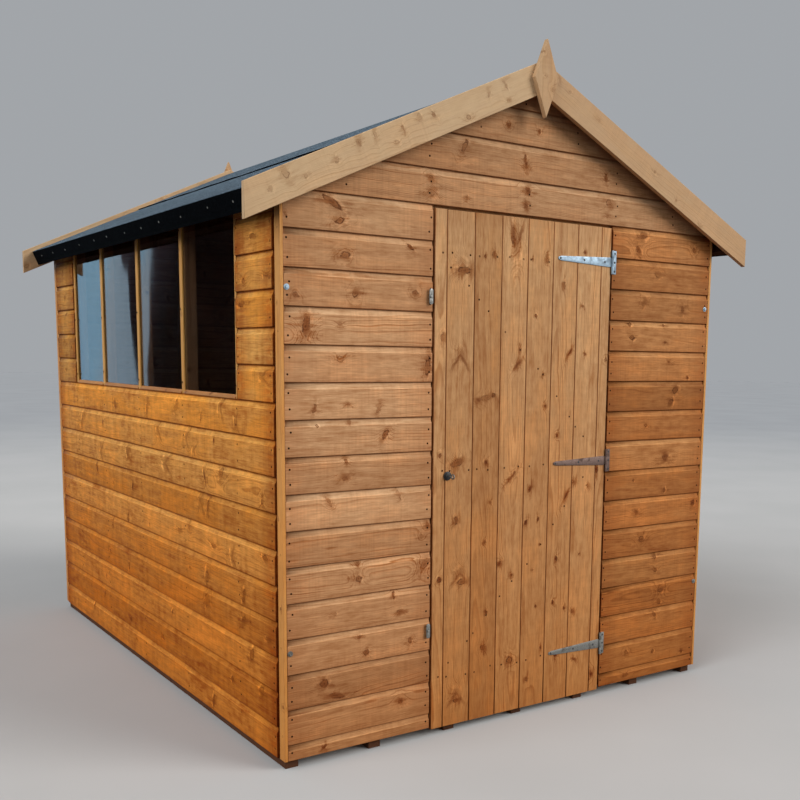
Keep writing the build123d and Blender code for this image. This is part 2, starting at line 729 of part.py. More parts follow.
# ----------------------------------------------------------------------------
# Corner strips over the front and back panels' edges
# ----------------------------------------------------------------------------
STRIP_TOP = under_deck(HALF_W + STRIP_T) - 2.0
with BuildPart() as corner_strips:
    with BuildSketch(Plane.XY.offset(BASE_GAP)):
        with Locations(
            (-HALF_W - STRIP_T / 2, YF - 1.0 + STRIP_W / 2),
            (HALF_W + STRIP_T / 2, YF - 1.0 + STRIP_W / 2),
            (-HALF_W - STRIP_T / 2, YB + 1.0 - STRIP_W / 2),
            (HALF_W + STRIP_T / 2, YB + 1.0 - STRIP_W / 2),
        ):
            Rectangle(STRIP_T, STRIP_W)
    extrude(amount=STRIP_TOP - BASE_GAP)
corner_strips.part.label = "corner_strips"
export_step(corner_strips.part, "parts/corner_strips.step")

# ----------------------------------------------------------------------------
# Door: boards, ledges and braces
# ----------------------------------------------------------------------------
DOOR_MID_X = (DOOR_X0 + DOOR_X1) / 2
with BuildPart() as door_boards:
    with BuildSketch(Plane.XY.offset(DOOR_BOTTOM)):
        with Locations((DOOR_MID_X, YF + DOOR_T / 2)):
            Rectangle(DOOR_X1 - DOOR_X0, DOOR_T)
    extrude(amount=DOOR_TOP - DOOR_BOTTOM)
door_boards.part.label = "door_boards"
export_step(door_boards.part, "parts/door_boards.step")

LEDGE_X0 = DOOR_X0 + 30.0
LEDGE_X1 = DOOR_X1 - 30.0
LEDGE_Y = YF + DOOR_T + LEDGE_T / 2
with BuildPart() as door_ledges:
    for z in LEDGE_Z:
        with BuildSketch(Plane.XY.offset(z - LEDGE_H / 2)):
            with Locations(((LEDGE_X0 + LEDGE_X1) / 2, LEDGE_Y)):
                Rectangle(LEDGE_X1 - LEDGE_X0, LEDGE_T)
        extrude(amount=LEDGE_H)
door_ledges.part.label = "door_ledges"
export_step(door_ledges.part, "parts/door_ledges.step")

# both braces start at the hinge side of the middle ledge: the nail rows show
# the upper one rising to the lock side and the lower one falling to it
BRACE_W = 100.0
with BuildPart() as door_braces:
    with BuildSketch(Plane.XZ.offset(-(YF + DOOR_T))):
        for z_hinge, z_lock in (
            (LEDGE_Z[1] - LEDGE_H / 2, LEDGE_Z[0] + LEDGE_H / 2),
            (LEDGE_Z[1] + LEDGE_H / 2, LEDGE_Z[2] - LEDGE_H / 2),
        ):
            with BuildLine():
                Polyline(
                    (LEDGE_X1 - BRACE_W - 10.0, z_hinge),
                    (LEDGE_X1 - 10.0, z_hinge),
                    (LEDGE_X0 + BRACE_W + 10.0, z_lock),
                    (LEDGE_X0 + 10.0, z_lock),
                    close=True,
                )
            make_face()
    extrude(amount=-LEDGE_T)
door_braces.part.label = "door_braces"
export_step(door_braces.part, "parts/door_braces.step")

# ----------------------------------------------------------------------------
# T-hinges: a wall plate with the pin and the outer knuckles, and a tapering
# strap with the middle knuckle
# ----------------------------------------------------------------------------
KNUCKLE_H = 30.0                       # middle knuckle
with BuildPart() as hinge_plates:
    for z in HINGE_Z:
        with BuildSketch(Plane.XY.offset(z - PLATE_H / 2)):
            with Locations((PIN_X + 5.5 + PLATE_W / 2, YF - STRAP_T / 2)):
                Rectangle(PLATE_W, STRAP_T)
        extrude(amount=PLATE_H)
        # outer knuckles
        for z0, z1 in ((z - PLATE_H / 2, z - KNUCKLE_H / 2 - 0.6),
                       (z + KNUCKLE_H / 2 + 0.6, z + PLATE_H / 2)):
            with BuildSketch(Plane.XY.offset(z0)):
                with Locations((PIN_X, PIN_Y)):
                    Circle(KNUCKLE_R)
                with Locations((PIN_X + 3.5, YF - STRAP_T / 2 - 1.2)):
                    Rectangle(7.0, STRAP_T + 0.6)
            extrude(amount=z1 - z0)
        # pin
        with BuildSketch(Plane.XY.offset(z - PLATE_H / 2)):
            with Locations((PIN_X, PIN_Y)):
                Circle(PIN_R)
        extrude(amount=PLATE_H)
hinge_plates.part.label = "hinge_plates"
export_step(hinge_plates.part, "parts/hinge_plates.step")

with BuildPart() as hinge_straps:
    for z in HINGE_Z:
        with BuildSketch(Plane.XZ.offset(-(YF - STRAP_T))):
            with BuildLine():
                Polyline(
                    (PIN_X - 1.5, z + 14.5),
                    (PIN_X - 12.0, z + 17.0),
                    (PIN_X - STRAP_L + 12.0, z + 7.5),
                    (PIN_X - STRAP_L, z + 4.0),
                    (PIN_X - STRAP_L, z - 4.0),
                    (PIN_X - STRAP_L + 12.0, z - 7.5),
                    (PIN_X - 12.0, z - 17.0),
                    (PIN_X - 1.5, z - 14.5),
                    close=True,
                )
            make_face()
        extrude(amount=-STRAP_T)
        with BuildSketch(Plane.XY.offset(z - 14.5)):
            with Locations((PIN_X, PIN_Y)):
                Circle(KNUCKLE_R)
        extrude(amount=29.0)
        with BuildSketch(Plane.XY.offset(z - 16.0)):
            with Locations((PIN_X, PIN_Y)):
                Circle(PIN_R + 0.3)
        extrude(amount=32.0, mode=Mode.SUBTRACT)
hinge_straps.part.label = "hinge_straps"
export_step(hinge_straps.part, "parts/hinge_straps.step")

# ----------------------------------------------------------------------------
# Lock front and key
# ----------------------------------------------------------------------------
LOCK_X = 587.0 - HALF_W
LOCK_Z = 888.0
LOCK_R = 15.0
with BuildPart() as door_lock:
    with BuildSketch(Plane.XZ.offset(-YF)):
        with Locations((LOCK_X, LOCK_Z)):
            Circle(LOCK_R)
    extrude(amount=4.0)
    with BuildSketch(Plane.XZ.offset(-(YF - 4.0))):
        with Locations((LOCK_X, LOCK_Z)):
            Circle(LOCK_R - 4.0)
    extrude(amount=4.0)
door_lock.part.label = "door_lock"
export_step(door_lock.part, "parts/door_lock.step")

KEY_OUT = 26.0
with BuildPart() as door_key:
    # shank straight out of the lock
    with BuildSketch(Plane.XZ.offset(-(YF - 8.0))):
        with Locations((LOCK_X, LOCK_Z)):
            Circle(2.0)
    extrude(amount=KEY_OUT - 8.0)
    # bow: a flat ring in the plumb plane through the shank
    with BuildSketch(Plane.YZ.offset(LOCK_X - 1.2)):
        with Locations((YF - KEY_OUT - 7.0, LOCK_Z)):
            Circle(9.5)
            Circle(5.0, mode=Mode.SUBTRACT)
    extrude(amount=2.4)
door_key.part.label = "door_key"
export_step(door_key.part, "parts/door_key.step")

# ----------------------------------------------------------------------------
# Turn buttons, upright as when the door is free to open, and their screws
# ----------------------------------------------------------------------------
with BuildPart() as turn_button_screws:
    for z in BUTTON_Z:
        with BuildSketch(Plane.XZ.offset(-YF)):
            with Locations((BUTTON_X, z)):
                Circle(5.0)
        extrude(amount=BUTTON_GAP - 0.4)
        with BuildSketch(Plane.XZ.offset(-(YF - BUTTON_GAP + 0.4))):
            with Locations((BUTTON_X, z)):
                Circle(2.0)
        extrude(amount=BUTTON_T + 0.8)
        with BuildSketch(Plane.XZ.offset(-(YF - BUTTON_GAP - BUTTON_T - 0.4))):
            with Locations((BUTTON_X, z)):
                Circle(4.4)
        extrude(amount=2.4)
turn_button_screws.part.label = "turn_button_screws"
export_step(turn_button_screws.part, "parts/turn_button_screws.step")

with BuildPart() as turn_button_lower:
    with BuildSketch(Plane.XZ.offset(-(YF - BUTTON_GAP))):
        with Locations((BUTTON_X, BUTTON_Z[0])):
            SlotOverall(BUTTON_L, BUTTON_W, rotation=90)
            Circle(2.5, mode=Mode.SUBTRACT)
    extrude(amount=BUTTON_T)
turn_button_lower.part.label = "turn_button_lower"
export_step(turn_button_lower.part, "parts/turn_button_lower.step")

with BuildPart() as turn_button_upper:
    with BuildSketch(Plane.XZ.offset(-(YF - BUTTON_GAP))):
        with Locations((BUTTON_X, BUTTON_Z[1])):
            SlotOverall(BUTTON_L, BUTTON_W, rotation=90)
            Circle(2.5, mode=Mode.SUBTRACT)
    extrude(amount=BUTTON_T)
turn_button_upper.part.label = "turn_button_upper"
export_step(turn_button_upper.part, "parts/turn_button_upper.step")
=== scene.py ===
import math
import random

import bmesh
import bpy
import numpy as np
from mathutils import Matrix, Vector
from mathutils import noise as mnoise


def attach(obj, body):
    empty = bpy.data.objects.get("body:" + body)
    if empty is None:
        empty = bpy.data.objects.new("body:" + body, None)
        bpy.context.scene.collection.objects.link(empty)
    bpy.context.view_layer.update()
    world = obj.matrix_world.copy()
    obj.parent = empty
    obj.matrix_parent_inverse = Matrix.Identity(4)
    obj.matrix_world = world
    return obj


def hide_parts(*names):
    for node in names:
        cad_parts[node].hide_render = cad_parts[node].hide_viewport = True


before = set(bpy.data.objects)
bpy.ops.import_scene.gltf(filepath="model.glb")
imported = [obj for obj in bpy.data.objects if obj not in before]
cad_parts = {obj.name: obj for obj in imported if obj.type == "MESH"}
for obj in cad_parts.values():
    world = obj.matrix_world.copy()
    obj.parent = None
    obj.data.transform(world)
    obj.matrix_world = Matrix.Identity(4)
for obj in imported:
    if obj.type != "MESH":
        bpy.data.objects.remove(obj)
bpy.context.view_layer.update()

# ----------------------------------------------------------------------------
# Sizes in millimetres, the same as the frame's
# ----------------------------------------------------------------------------
HALF_W, CLAD = 915.0, 12.0
YF, YB = -1240.3, 1252.7
Y_DECK_F, Y_DECK_B = -1279.7, 1279.7
COVER, BASE_GAP = 111.67, 30.0
SIDE_OUT = HALF_W + 14.0
SIDE_Y0, SIDE_Y1 = YF + 38.0, YB - 38.0
SLOPE = 0.4683
CA, SA = math.cos(math.atan(SLOPE)), math.sin(math.atan(SLOPE))
BARGE_TOP = 2245.9
FELT_APEX = BARGE_TOP - 20.0
WALL_APEX = FELT_APEX - 15.0 / CA
S_EAVE = 1015.0 / CA
HEAD_Z = 1756.4
OPEN_X0, OPEN_X1 = -391.0, 391.0
DOOR_X0, DOOR_X1, DOOR_Z0, DOOR_Z1 = -385.0, 385.0, 23.0, 1747.0
WIN_Y0, WIN_Y1 = YF + 325.0, YF + 2150.0
WIN_Z0, WIN_Z1 = BASE_GAP + 101.6 + 9 * COVER, 1722.0
MULLIONS = (YF + 797.0, YF + 1272.0, YF + 1739.0)
SIDE_TOP = WALL_APEX - SLOPE * SIDE_OUT - 1.0
HINGE_Z = (205.0, 906.0, 1626.0)
PIN_X = 388.0
BUTTON_X, BUTTON_Z = -403.0, (372.0, 1469.0)

X, Y, Z = Vector((1, 0, 0)), Vector((0, 1, 0)), Vector((0, 0, 1))


def lin(r, g, b):
    """Linear colour from 0-255 values."""
    return tuple((c / 12.92 if c <= 0.04045 else ((c + 0.055) / 1.055) ** 2.4)
                 for c in (r / 255, g / 255, b / 255)) + (1.0,)


# ----------------------------------------------------------------------------
# Material trees
# ----------------------------------------------------------------------------
class Tree:
    def __init__(self, name):
        self.mat = bpy.data.materials.new(name)
        self.mat.use_nodes = True
        self.t = self.mat.node_tree
        self.t.nodes.clear()
        self.out = self.new("OutputMaterial")

    def new(self, kind, **props):
        n = self.t.nodes.new("ShaderNode" + kind)
        for k, v in props.items():
            setattr(n, k, v)
        return n

    def put(self, socket, value):
        if isinstance(value, bpy.types.NodeSocket):
            self.t.links.new(value, socket)
        else:
            socket.default_value = value

    def math(self, op, a, b=0.0, c=0.0, clamp=False):
        n = self.new("Math", operation=op, use_clamp=clamp)
        for s, v in zip(n.inputs, (a, b, c)):
            self.put(s, v)
        return n.outputs[0]

    def vec(self, op, a, b=(0.0, 0.0, 0.0), scale=None):
        n = self.new("VectorMath", operation=op)
        self.put(n.inputs[0], a)
        if scale is not None:
            self.put(n.inputs["Scale"], scale)
        else:
            self.put(n.inputs[1], b)
        return n.outputs["Value" if op in ("LENGTH", "DOT_PRODUCT", "DISTANCE") else "Vector"]

    def split(self, v):
        n = self.new("SeparateXYZ")
        self.put(n.inputs[0], v)
        return n.outputs[0], n.outputs[1], n.outputs[2]

    def xyz(self, x=0.0, y=0.0, z=0.0):
        n = self.new("CombineXYZ")
        for s, v in zip(n.inputs, (x, y, z)):
            self.put(s, v)
        return n.outputs[0]

    def attr(self, name):
        return self.new("Attribute", attribute_name=name).outputs["Vector"]

    def noise(self, vec, scale=1.0, detail=2.0, rough=0.5, dist=0.0):
        n = self.new("TexNoise")
        self.put(n.inputs["Vector"], vec)
        n.inputs["Scale"].default_value = scale
        n.inputs["Detail"].default_value = detail
        n.inputs["Roughness"].default_value = rough
        n.inputs["Distortion"].default_value = dist
        return n.outputs[0]

    def voronoi(self, vec, scale=1.0, feature="F1", out="Distance"):
        n = self.new("TexVoronoi", feature=feature)
        self.put(n.inputs["Vector"], vec)
        n.inputs["Scale"].default_value = scale
        return n.outputs[out]

    def mix(self, fac, a, b, mode="MIX"):
        n = self.new("Mix", data_type="RGBA", blend_type=mode)
        self.put(n.inputs[0], fac)
        self.put(n.inputs[6], a)
        self.put(n.inputs[7], b)
        return n.outputs[2]

    def map(self, x, a, b, c=0.0, d=1.0, kind="LINEAR"):
        n = self.new("MapRange", interpolation_type=kind)
        for s, v in zip(n.inputs, (x, a, b, c, d)):
            self.put(s, v)
        return n.outputs[0]

    def smooth(self, x, a, b, c=0.0, d=1.0):
        return self.map(x, a, b, c, d, "SMOOTHSTEP")

    def ramp(self, fac, stops):
        n = self.new("ValToRGB")
        r = n.color_ramp
        while len(r.elements) > 1:
            r.elements.remove(r.elements[-1])
        r.elements[0].position, r.elements[0].color = stops[0][0], (stops[0][1],) * 3 + (1,)
        for p, v in stops[1:]:
            e = r.elements.new(p)
            e.color = (v,) * 3 + (1,)
        self.put(n.inputs[0], fac)
        return n.outputs[0]

    def bump(self, height, distance, strength=1.0):
        n = self.new("Bump")
        n.inputs["Strength"].default_value = strength
        n.inputs["Distance"].default_value = distance
        self.put(n.inputs["Height"], height)
        return n.outputs[0]

    def principled(self, color, rough, normal=None, **sockets):
        n = self.new("BsdfPrincipled")
        self.put(n.inputs["Base Color"], color)
        self.put(n.inputs["Roughness"], rough)
        if normal is not None:
            self.put(n.inputs["Normal"], normal)
        for k, v in sockets.items():
            self.put(n.inputs[k.replace("_", " ")], v)
        self.put(self.out.inputs["Surface"], n.outputs[0])
        return self.mat


def wood(name, light, warm, grain, knot, rim, ring=4.6, ring_mix=0.3, streak=0.35,
         blotch=0.3, saw=0.05, bars=0.0, rough=(0.55, 0.75), spec=0.25, ends=0.4, feather=0.5,
         knot_mix=0.9, bump=0.5, edge=None, foot=None, side=None, fleck=0.35, seam_shade=0.95, end_w=0.11, seam_w=0.0065, pale=0.2, cut=None,
         deep=(0.62, 0.47, 0.34), lip=(0.0030, 0.6)):
    """Sawn softwood. Growth rings are tubes round a pith beside each board, so
    that faces show flat grain and ends show arcs; knots bend and darken them.
    Stain gathers at board ends; the joints get painted shade under each lip, the cove a painted highlight, and the
    boards grow darker towards the foot of the wall."""
    t = Tree(name)
    gp = t.attr("gp")
    tone_b, tone_h, tone_r = t.split(t.attr("tone"))
    end_d, edge_v, edge_h = t.split(t.attr("ed"))
    kr_a, kr_b, _ = t.split(t.attr("kr"))

    fine = t.noise(t.vec("MULTIPLY", gp, (22.0, 320.0, 320.0)), detail=2.0, rough=0.6)
    coarse = t.noise(t.vec("MULTIPLY", gp, (5.0, 75.0, 75.0)), detail=3.0, rough=0.6)
    cloud = t.noise(t.vec("MULTIPLY", gp, (4.5, 10.0, 10.0)), detail=3.0, rough=0.55)
    mottle = t.noise(t.vec("MULTIPLY", gp, (24.0, 46.0, 46.0)), detail=3.0, rough=0.6)
    warp = t.noise(t.vec("MULTIPLY", gp, (1.7, 8.0, 8.0)), detail=1.0, rough=0.4)
    wobble = t.noise(t.vec("MULTIPLY", gp, (8.0, 34.0, 34.0)), detail=2.0, rough=0.5)
    bend = t.new("TexNoise")
    t.put(bend.inputs["Vector"], gp)
    bend.inputs["Scale"].default_value = 55.0
    bend.inputs["Detail"].default_value = 4.0
    bend.inputs["Roughness"].default_value = 0.66
    shift = t.vec("SUBTRACT", bend.outputs["Color"], (0.5, 0.5, 0.5))

    radius = t.vec("LENGTH", t.vec("MULTIPLY", gp, (0.0, 1.0, 1.0)))
    radius = t.math("MULTIPLY_ADD", warp, 0.034, radius)
    radius = t.math("MULTIPLY_ADD", wobble, 0.007, radius)

    # how far each streak runs out from a knot
    finger = t.noise(t.vec("MULTIPLY", gp, (6.0, 120.0, 120.0)), detail=2.0)
    finger = t.smooth(finger, 0.34, 0.66, 0.38, 1.15)
    tuft = t.math("SUBTRACT", mottle, 0.5)
    kinds = t.split(t.attr("kk"))
    cores, rims, halos, pale_lit_sides = [], [], [], []
    for layer, size, kind in (("ka", kr_a, kinds[0]), ("kb", kr_b, kinds[1])):
        raw = t.attr(layer)
        s = t.split(raw)[2]
        push = t.math("DIVIDE", 0.021, t.math("MAXIMUM", size, 0.006))
        moved = t.vec("ADD", t.vec("MULTIPLY", raw, (1.0, 1.0, 0.0)),
                      t.vec("SCALE", t.vec("MULTIPLY", shift, (1.0, 0.8, 0.0)), scale=push))
        q = t.vec("LENGTH", moved)
        # a kind up to 1 is how dark the knot's face is; above 1 the knot is a forked flare
        solid = t.math("PINGPONG", kind, 1.0)
        fork = t.math("MAXIMUM", t.math("SUBTRACT", kind, 1.0), 0.0)
        # rings bend round the knot
        lift = t.math("EXPONENT", t.math("MULTIPLY", t.math("MULTIPLY", q, q), -0.17))
        lift = t.math("MULTIPLY", t.math("MULTIPLY", lift, size), s)
        radius = t.math("MULTIPLY_ADD", lift, 2.6, radius)
        core = t.math("MULTIPLY", t.math("MULTIPLY", t.smooth(q, 1.15, 0.50), s), solid)
        ringed = t.math("MULTIPLY_ADD", t.math("SINE", t.math("MULTIPLY", q, 13.0)), 0.5, 0.5)
        heart = t.smooth(q, 0.50, 0.12, 0.0, 0.8)
        edge_r = t.smooth(t.math("ABSOLUTE", t.math("SUBTRACT", q, 0.86)), 0.26, 0.03)
        edge_r = t.math("MULTIPLY", t.math("MULTIPLY", edge_r, s), t.smooth(mottle, 0.42, 0.58, 0.0, 0.95))
        edge_r = t.math("MULTIPLY", edge_r, t.math("SUBTRACT", 1.0, fork))
        rim_f = t.math("MAXIMUM", edge_r, t.math("MULTIPLY", core, t.math("MAXIMUM", heart, t.math("MULTIPLY", ringed, 0.4))))
        # the flare lies along the grain on both sides, in tufts
        fx, fy, _ = t.split(moved)
        flare = t.vec("LENGTH", t.xyz(t.math("MULTIPLY", fx, finger), t.math("MULTIPLY", fy, 0.8), 0.0))
        flare = t.math("MULTIPLY_ADD", tuft, 3.0, flare)
        halo = t.math("MULTIPLY", t.smooth(flare, 2.1, 0.3), s)
        wing = t.math("ABSOLUTE", fy)
        arm = t.math("ABSOLUTE", t.math("MULTIPLY_ADD", wing, 1.1, fx))
        arm = t.math("MULTIPLY", t.smooth(arm, 0.95, 0.1), t.smooth(wing, 3.6, 0.6))
        arm = t.math("MULTIPLY", t.math("MULTIPLY", arm, fork), s)
        cores.append(t.math("MAXIMUM", core, t.math("MULTIPLY", arm, 0.45)))
        rims.append(t.math("MAXIMUM", rim_f, t.math("MULTIPLY", arm, 0.22)))
        halos.append(t.math("MAXIMUM", t.math("MULTIPLY", halo, t.math("MULTIPLY_ADD", fork, -0.6, 1.0)), arm))
        # and the wood on one side of it is paler, partly its own colour and partly a painted highlight as on a crest
        # lit from that side
        lit = t.math("MULTIPLY", t.smooth(t.math("ABSOLUTE", t.math("SUBTRACT", q, 1.55)), 0.62, 0.1), t.smooth(fx, 0.15, 0.9))
        pale_lit_sides.append(t.math("MULTIPLY", t.math("MULTIPLY", lit, s), t.smooth(mottle, 0.40, 0.62, 0.2, 1.3)))
    core = t.math("MAXIMUM", cores[0], cores[1])
    dark = t.math("MAXIMUM", rims[0], rims[1], clamp=True)
    halo = t.math("MAXIMUM", halos[0], halos[1])

    phase = t.math("DIVIDE", radius, ring * 0.001)
    count = t.new("TexWhiteNoise", noise_dimensions="1D")
    t.put(count.inputs["W"], t.math("FLOOR", phase))
    late = t.ramp(t.math("FRACT", phase), ((0.0, 0.03), (0.38, 0.10), (0.80, 1.0), (0.92, 0.8), (1.0, 0.03)))
    lot = t.math("MULTIPLY", count.outputs["Value"], count.outputs["Value"])
    late = t.math("MULTIPLY", late, t.map(lot, 0.0, 1.0, 0.2, 1.35))
    late_f = t.math("MULTIPLY", late, t.smooth(cloud, 0.34, 0.62, 0.35, 1.2))
    late_f = t.math("MULTIPLY", late_f, tone_r)
    near = t.math("MULTIPLY", late_f, halo)
    late_f = t.math("MULTIPLY_ADD", near, 1.6, late_f)
    ring_f = t.math("MULTIPLY", late_f, ring_mix, clamp=True)
    ring_f = t.math("MULTIPLY", ring_f, t.math("SUBTRACT", 1.0, t.math("MULTIPLY", core, 0.7)))

    hue = t.math("ADD", t.math("MULTIPLY", tone_h, 0.75), t.smooth(cloud, 0.35, 0.65, -0.15, 0.4), clamp=True)
    col = t.mix(hue, light, warm)
    col = t.mix(ring_f, col, grain)
    col = t.mix(t.math("MULTIPLY", halo, feather, clamp=True), col, grain)
    col = t.mix(t.math("MULTIPLY", near, 0.55, clamp=True), col, knot)
    col = t.mix(t.math("MULTIPLY", core, knot_mix * 0.8, clamp=True), col, knot)
    col = t.mix(t.math("MULTIPLY", dark, knot_mix, clamp=True), col, rim)
    if fleck:
        specks = t.noise(t.vec("MULTIPLY", gp, (26.0, 230.0, 230.0)), detail=1.0)
        col = t.mix(t.math("MULTIPLY", t.smooth(specks, 0.68, 0.78, 0.0, fleck), t.smooth(cloud, 0.45, 0.6)), col, knot)

    gain = t.math("MULTIPLY_ADD", t.math("SUBTRACT", coarse, 0.5), streak * 1.1, 1.0)
    # pale weighs that partly painted highlight beside the knots
    gain = t.math("MULTIPLY_ADD", t.math("MAXIMUM", pale_lit_sides[0], pale_lit_sides[1]), pale, gain)
    gain = t.math("MULTIPLY_ADD", tuft, streak * 0.9, gain)
    gain = t.math("MULTIPLY_ADD", t.math("SUBTRACT", fine, 0.5), streak * 0.9, gain)
    gain = t.math("MULTIPLY_ADD", t.math("SUBTRACT", cloud, 0.5), blotch * 1.8, gain)
    if saw:
        chatter = t.noise(t.vec("MULTIPLY", gp, (125.0, 4.0, 4.0)), detail=1.0)
        gain = t.math("MULTIPLY_ADD", t.math("MULTIPLY", t.math("SUBTRACT", chatter, 0.5), t.smooth(cloud, 0.4, 0.6, 0.3, 1.3)),
                      saw * 2.4, gain)
    if bars:
        bar = t.noise(t.vec("MULTIPLY", gp, (26.0, 4.5, 4.5)), detail=3.0, rough=0.55)
        gain = t.math("MULTIPLY_ADD", t.math("SUBTRACT", bar, 0.5), bars, gain)
    # the darker parts of a board are redder too
    low_g = t.math("MULTIPLY", t.math("SUBTRACT", 1.0, gain), 2.3, clamp=True)
    col = t.mix(low_g, col, t.vec("MULTIPLY", col, deep))
    col = t.vec("SCALE", col, scale=t.math("MULTIPLY", t.math("MAXIMUM", gain, 1.0), tone_b))
    if ends:
        f = t.math("MULTIPLY", t.smooth(end_d, end_w, 0.0, 0.0, ends), t.smooth(mottle, 0.35, 0.62, 0.4, 1.25), clamp=True)
        col = t.mix(f, col, t.vec("MULTIPLY", col, (0.66, 0.48, 0.36)))
    if edge:
        low = t.smooth(edge_v, lip[0], 0.0008)
        high = t.math("SUBTRACT", edge_h, edge_v)
        if edge == "ship":
            # painted highlight: the up-facing cove is brightened as if lit from above, and so is a thin line at its
            # arris, which also stands for wear
            cove = t.smooth(high, 0.0222, 0.0200, 0.0, 0.13)
            arris = t.smooth(t.math("ABSOLUTE", t.math("SUBTRACT", high, 0.0208)), 0.0018, 0.0004, 0.0, 0.20)
            col = t.vec("SCALE", col, scale=t.math("ADD", t.math("ADD", cove, arris), 1.0))
            # the cove band is also tinted paler, as part of the same painted highlight
            col = t.mix(t.smooth(high, 0.0222, 0.0200), col, t.vec("MULTIPLY", col, (0.96, 1.06, 1.16)))
            # painted shade: a dark line just under the lip of the board above, a dark lower lip, and a band fading up
            # over the board's lowest 30 mm
            joint_shade = t.math("MAXIMUM", t.math("MULTIPLY", low, lip[1]), t.smooth(high, seam_w, 0.0015, 0.0, seam_shade))
            joint_shade = t.math("MAXIMUM", joint_shade, t.smooth(edge_v, 0.030, 0.0, 0.0, 0.16))
        else:
            # on the door: both eased edges of each board are darkened, a dark joint with painted shade in the groove
            joint_shade = t.math("MULTIPLY", t.math("MAXIMUM", low, t.smooth(high, 0.0030, 0.0008)), 0.75)
        col = t.mix(joint_shade, col, t.vec("MULTIPLY", col, (0.44, 0.25, 0.13)))
        if cut:
            # sawn ends drink the stain, and it creeps on to the face; the band also stands for painted shade in the gap
            # beside the ends
            ragged = t.math("ADD", end_d, t.math("MULTIPLY", tuft, cut * 1.6))
            col = t.mix(t.smooth(ragged, cut, cut * 0.35, 0.0, 0.85), col, t.vec("MULTIPLY", col, (0.30, 0.18, 0.11)))
    if foot or side:
        px, _, pz = t.split(t.new("TexCoord").outputs["Object"])
        if foot:
            col = t.mix(t.map(pz, foot[1], foot[0], 0.0, 1.0), col, t.vec("MULTIPLY", col, foot[2]))
        if side:
            col = t.mix(t.map(px, side[0], side[1], 0.0, 1.0), col, t.vec("MULTIPLY", col, side[2]))

    height = t.math("MULTIPLY_ADD", late_f, -0.5, t.math("MULTIPLY", fine, 0.9))
    height = t.math("MULTIPLY_ADD", coarse, 0.6, height)
    height = t.math("MULTIPLY_ADD", dark, -1.6, height)
    height = t.math("MULTIPLY_ADD", halo, 0.9, height)
    normal = t.bump(height, 0.0009, bump)
    r = t.map(t.math("ADD", coarse, t.math("MULTIPLY", fine, 0.5)), 0.55, 0.95, rough[0], rough[1])
    return t.principled(col, r, normal, Specular_IOR_Level=spec)


M = {}
M["end"] = wood("wood_end", lin(208, 161, 117), lin(194, 140, 95), lin(152, 90, 44), lin(140, 74, 30), lin(88, 42, 16),
                ring_mix=0.56, streak=0.62, blotch=0.56, saw=0.11, rough=(0.65, 0.85), spec=0.08, feather=0.68, ends=0.36,
                edge="ship", foot=(0.03, 0.85, (0.76, 0.60, 0.45)), seam_shade=0.58, cut=0.0016)
# painted shade: the right panel gets a darker, more orange copy of the end wood, for the lesser light on that side
M["end_right"] = wood("wood_end_right", lin(190, 134, 84), lin(176, 113, 62), lin(134, 78, 36), lin(122, 64, 26), lin(80, 38, 14),
                      ring_mix=0.58, streak=0.68, blotch=0.62, saw=0.10, rough=(0.65, 0.85), spec=0.08, feather=0.66, ends=0.5,
                      edge="ship", foot=(0.03, 1.50, (0.86, 0.70, 0.48)), seam_shade=0.62, cut=0.0018, pale=0.45, knot_mix=1.0)
M["side"] = wood("wood_side", lin(236, 174, 95), lin(212, 139, 56), lin(150, 84, 26), lin(136, 70, 22), lin(88, 40, 12),
                 ring_mix=0.34, streak=0.74, blotch=0.86, saw=0.10, bars=0.50, rough=(0.6, 0.85), spec=0.05, feather=0.6, ends=0.95,
                 edge="ship", foot=(0.35, 1.30, (0.68, 0.47, 0.28)), end_w=0.13, knot_mix=0.8, seam_w=0.0095, pale=0.6, cut=0.0055,
                 deep=(0.58, 0.38, 0.20), lip=(0.0045, 0.6))
M["door"] = wood("wood_door", lin(208, 165, 119), lin(192, 140, 90), lin(148, 88, 38), lin(128, 62, 20), lin(66, 27, 8),
                 ring=5.4, ring_mix=0.48, streak=0.58, blotch=0.62, saw=0.05, rough=(0.6, 0.8), spec=0.10, feather=0.8, ends=0.2,
                 edge="vee", foot=(0.02, 1.75, (0.78, 0.56, 0.34)), deep=(0.62, 0.43, 0.27), knot_mix=1.0)
M["trim"] = wood("wood_trim", lin(222, 168, 92), lin(208, 148, 72), lin(160, 98, 42), lin(136, 80, 36), lin(92, 52, 24),
                 ring=3.8, ring_mix=0.35, streak=0.28, blotch=0.24, saw=0.0, rough=(0.45, 0.65), spec=0.2, feather=0.5, ends=0.2)
M["strip"] = wood("wood_strip", lin(220, 160, 92), lin(204, 138, 70), lin(146, 88, 38), lin(124, 70, 32), lin(84, 46, 22),
                  ring=3.8, ring_mix=0.35, streak=0.30, blotch=0.30, saw=0.0, rough=(0.5, 0.7), spec=0.15, feather=0.5, ends=0.3,
                  foot=(0.03, 1.6, (0.88, 0.76, 0.6)))
M["sill"] = wood("wood_sill", lin(200, 146, 88), lin(184, 124, 66), lin(140, 88, 42), lin(120, 70, 32), lin(84, 46, 22),
                 ring_mix=0.35, streak=0.40, blotch=0.40, saw=0.0, rough=(0.55, 0.75), spec=0.2, feather=0.5, ends=0.5)
M["bare"] = wood("wood_bare", lin(204, 172, 132), lin(194, 154, 112), lin(164, 122, 80), lin(146, 98, 56), lin(98, 60, 32),
                 ring=4.8, ring_mix=0.40, streak=0.18, blotch=0.24, saw=0.05, rough=(0.55, 0.75), spec=0.2, feather=0.6,
                 ends=0.08, knot_mix=0.8, fleck=0.2)
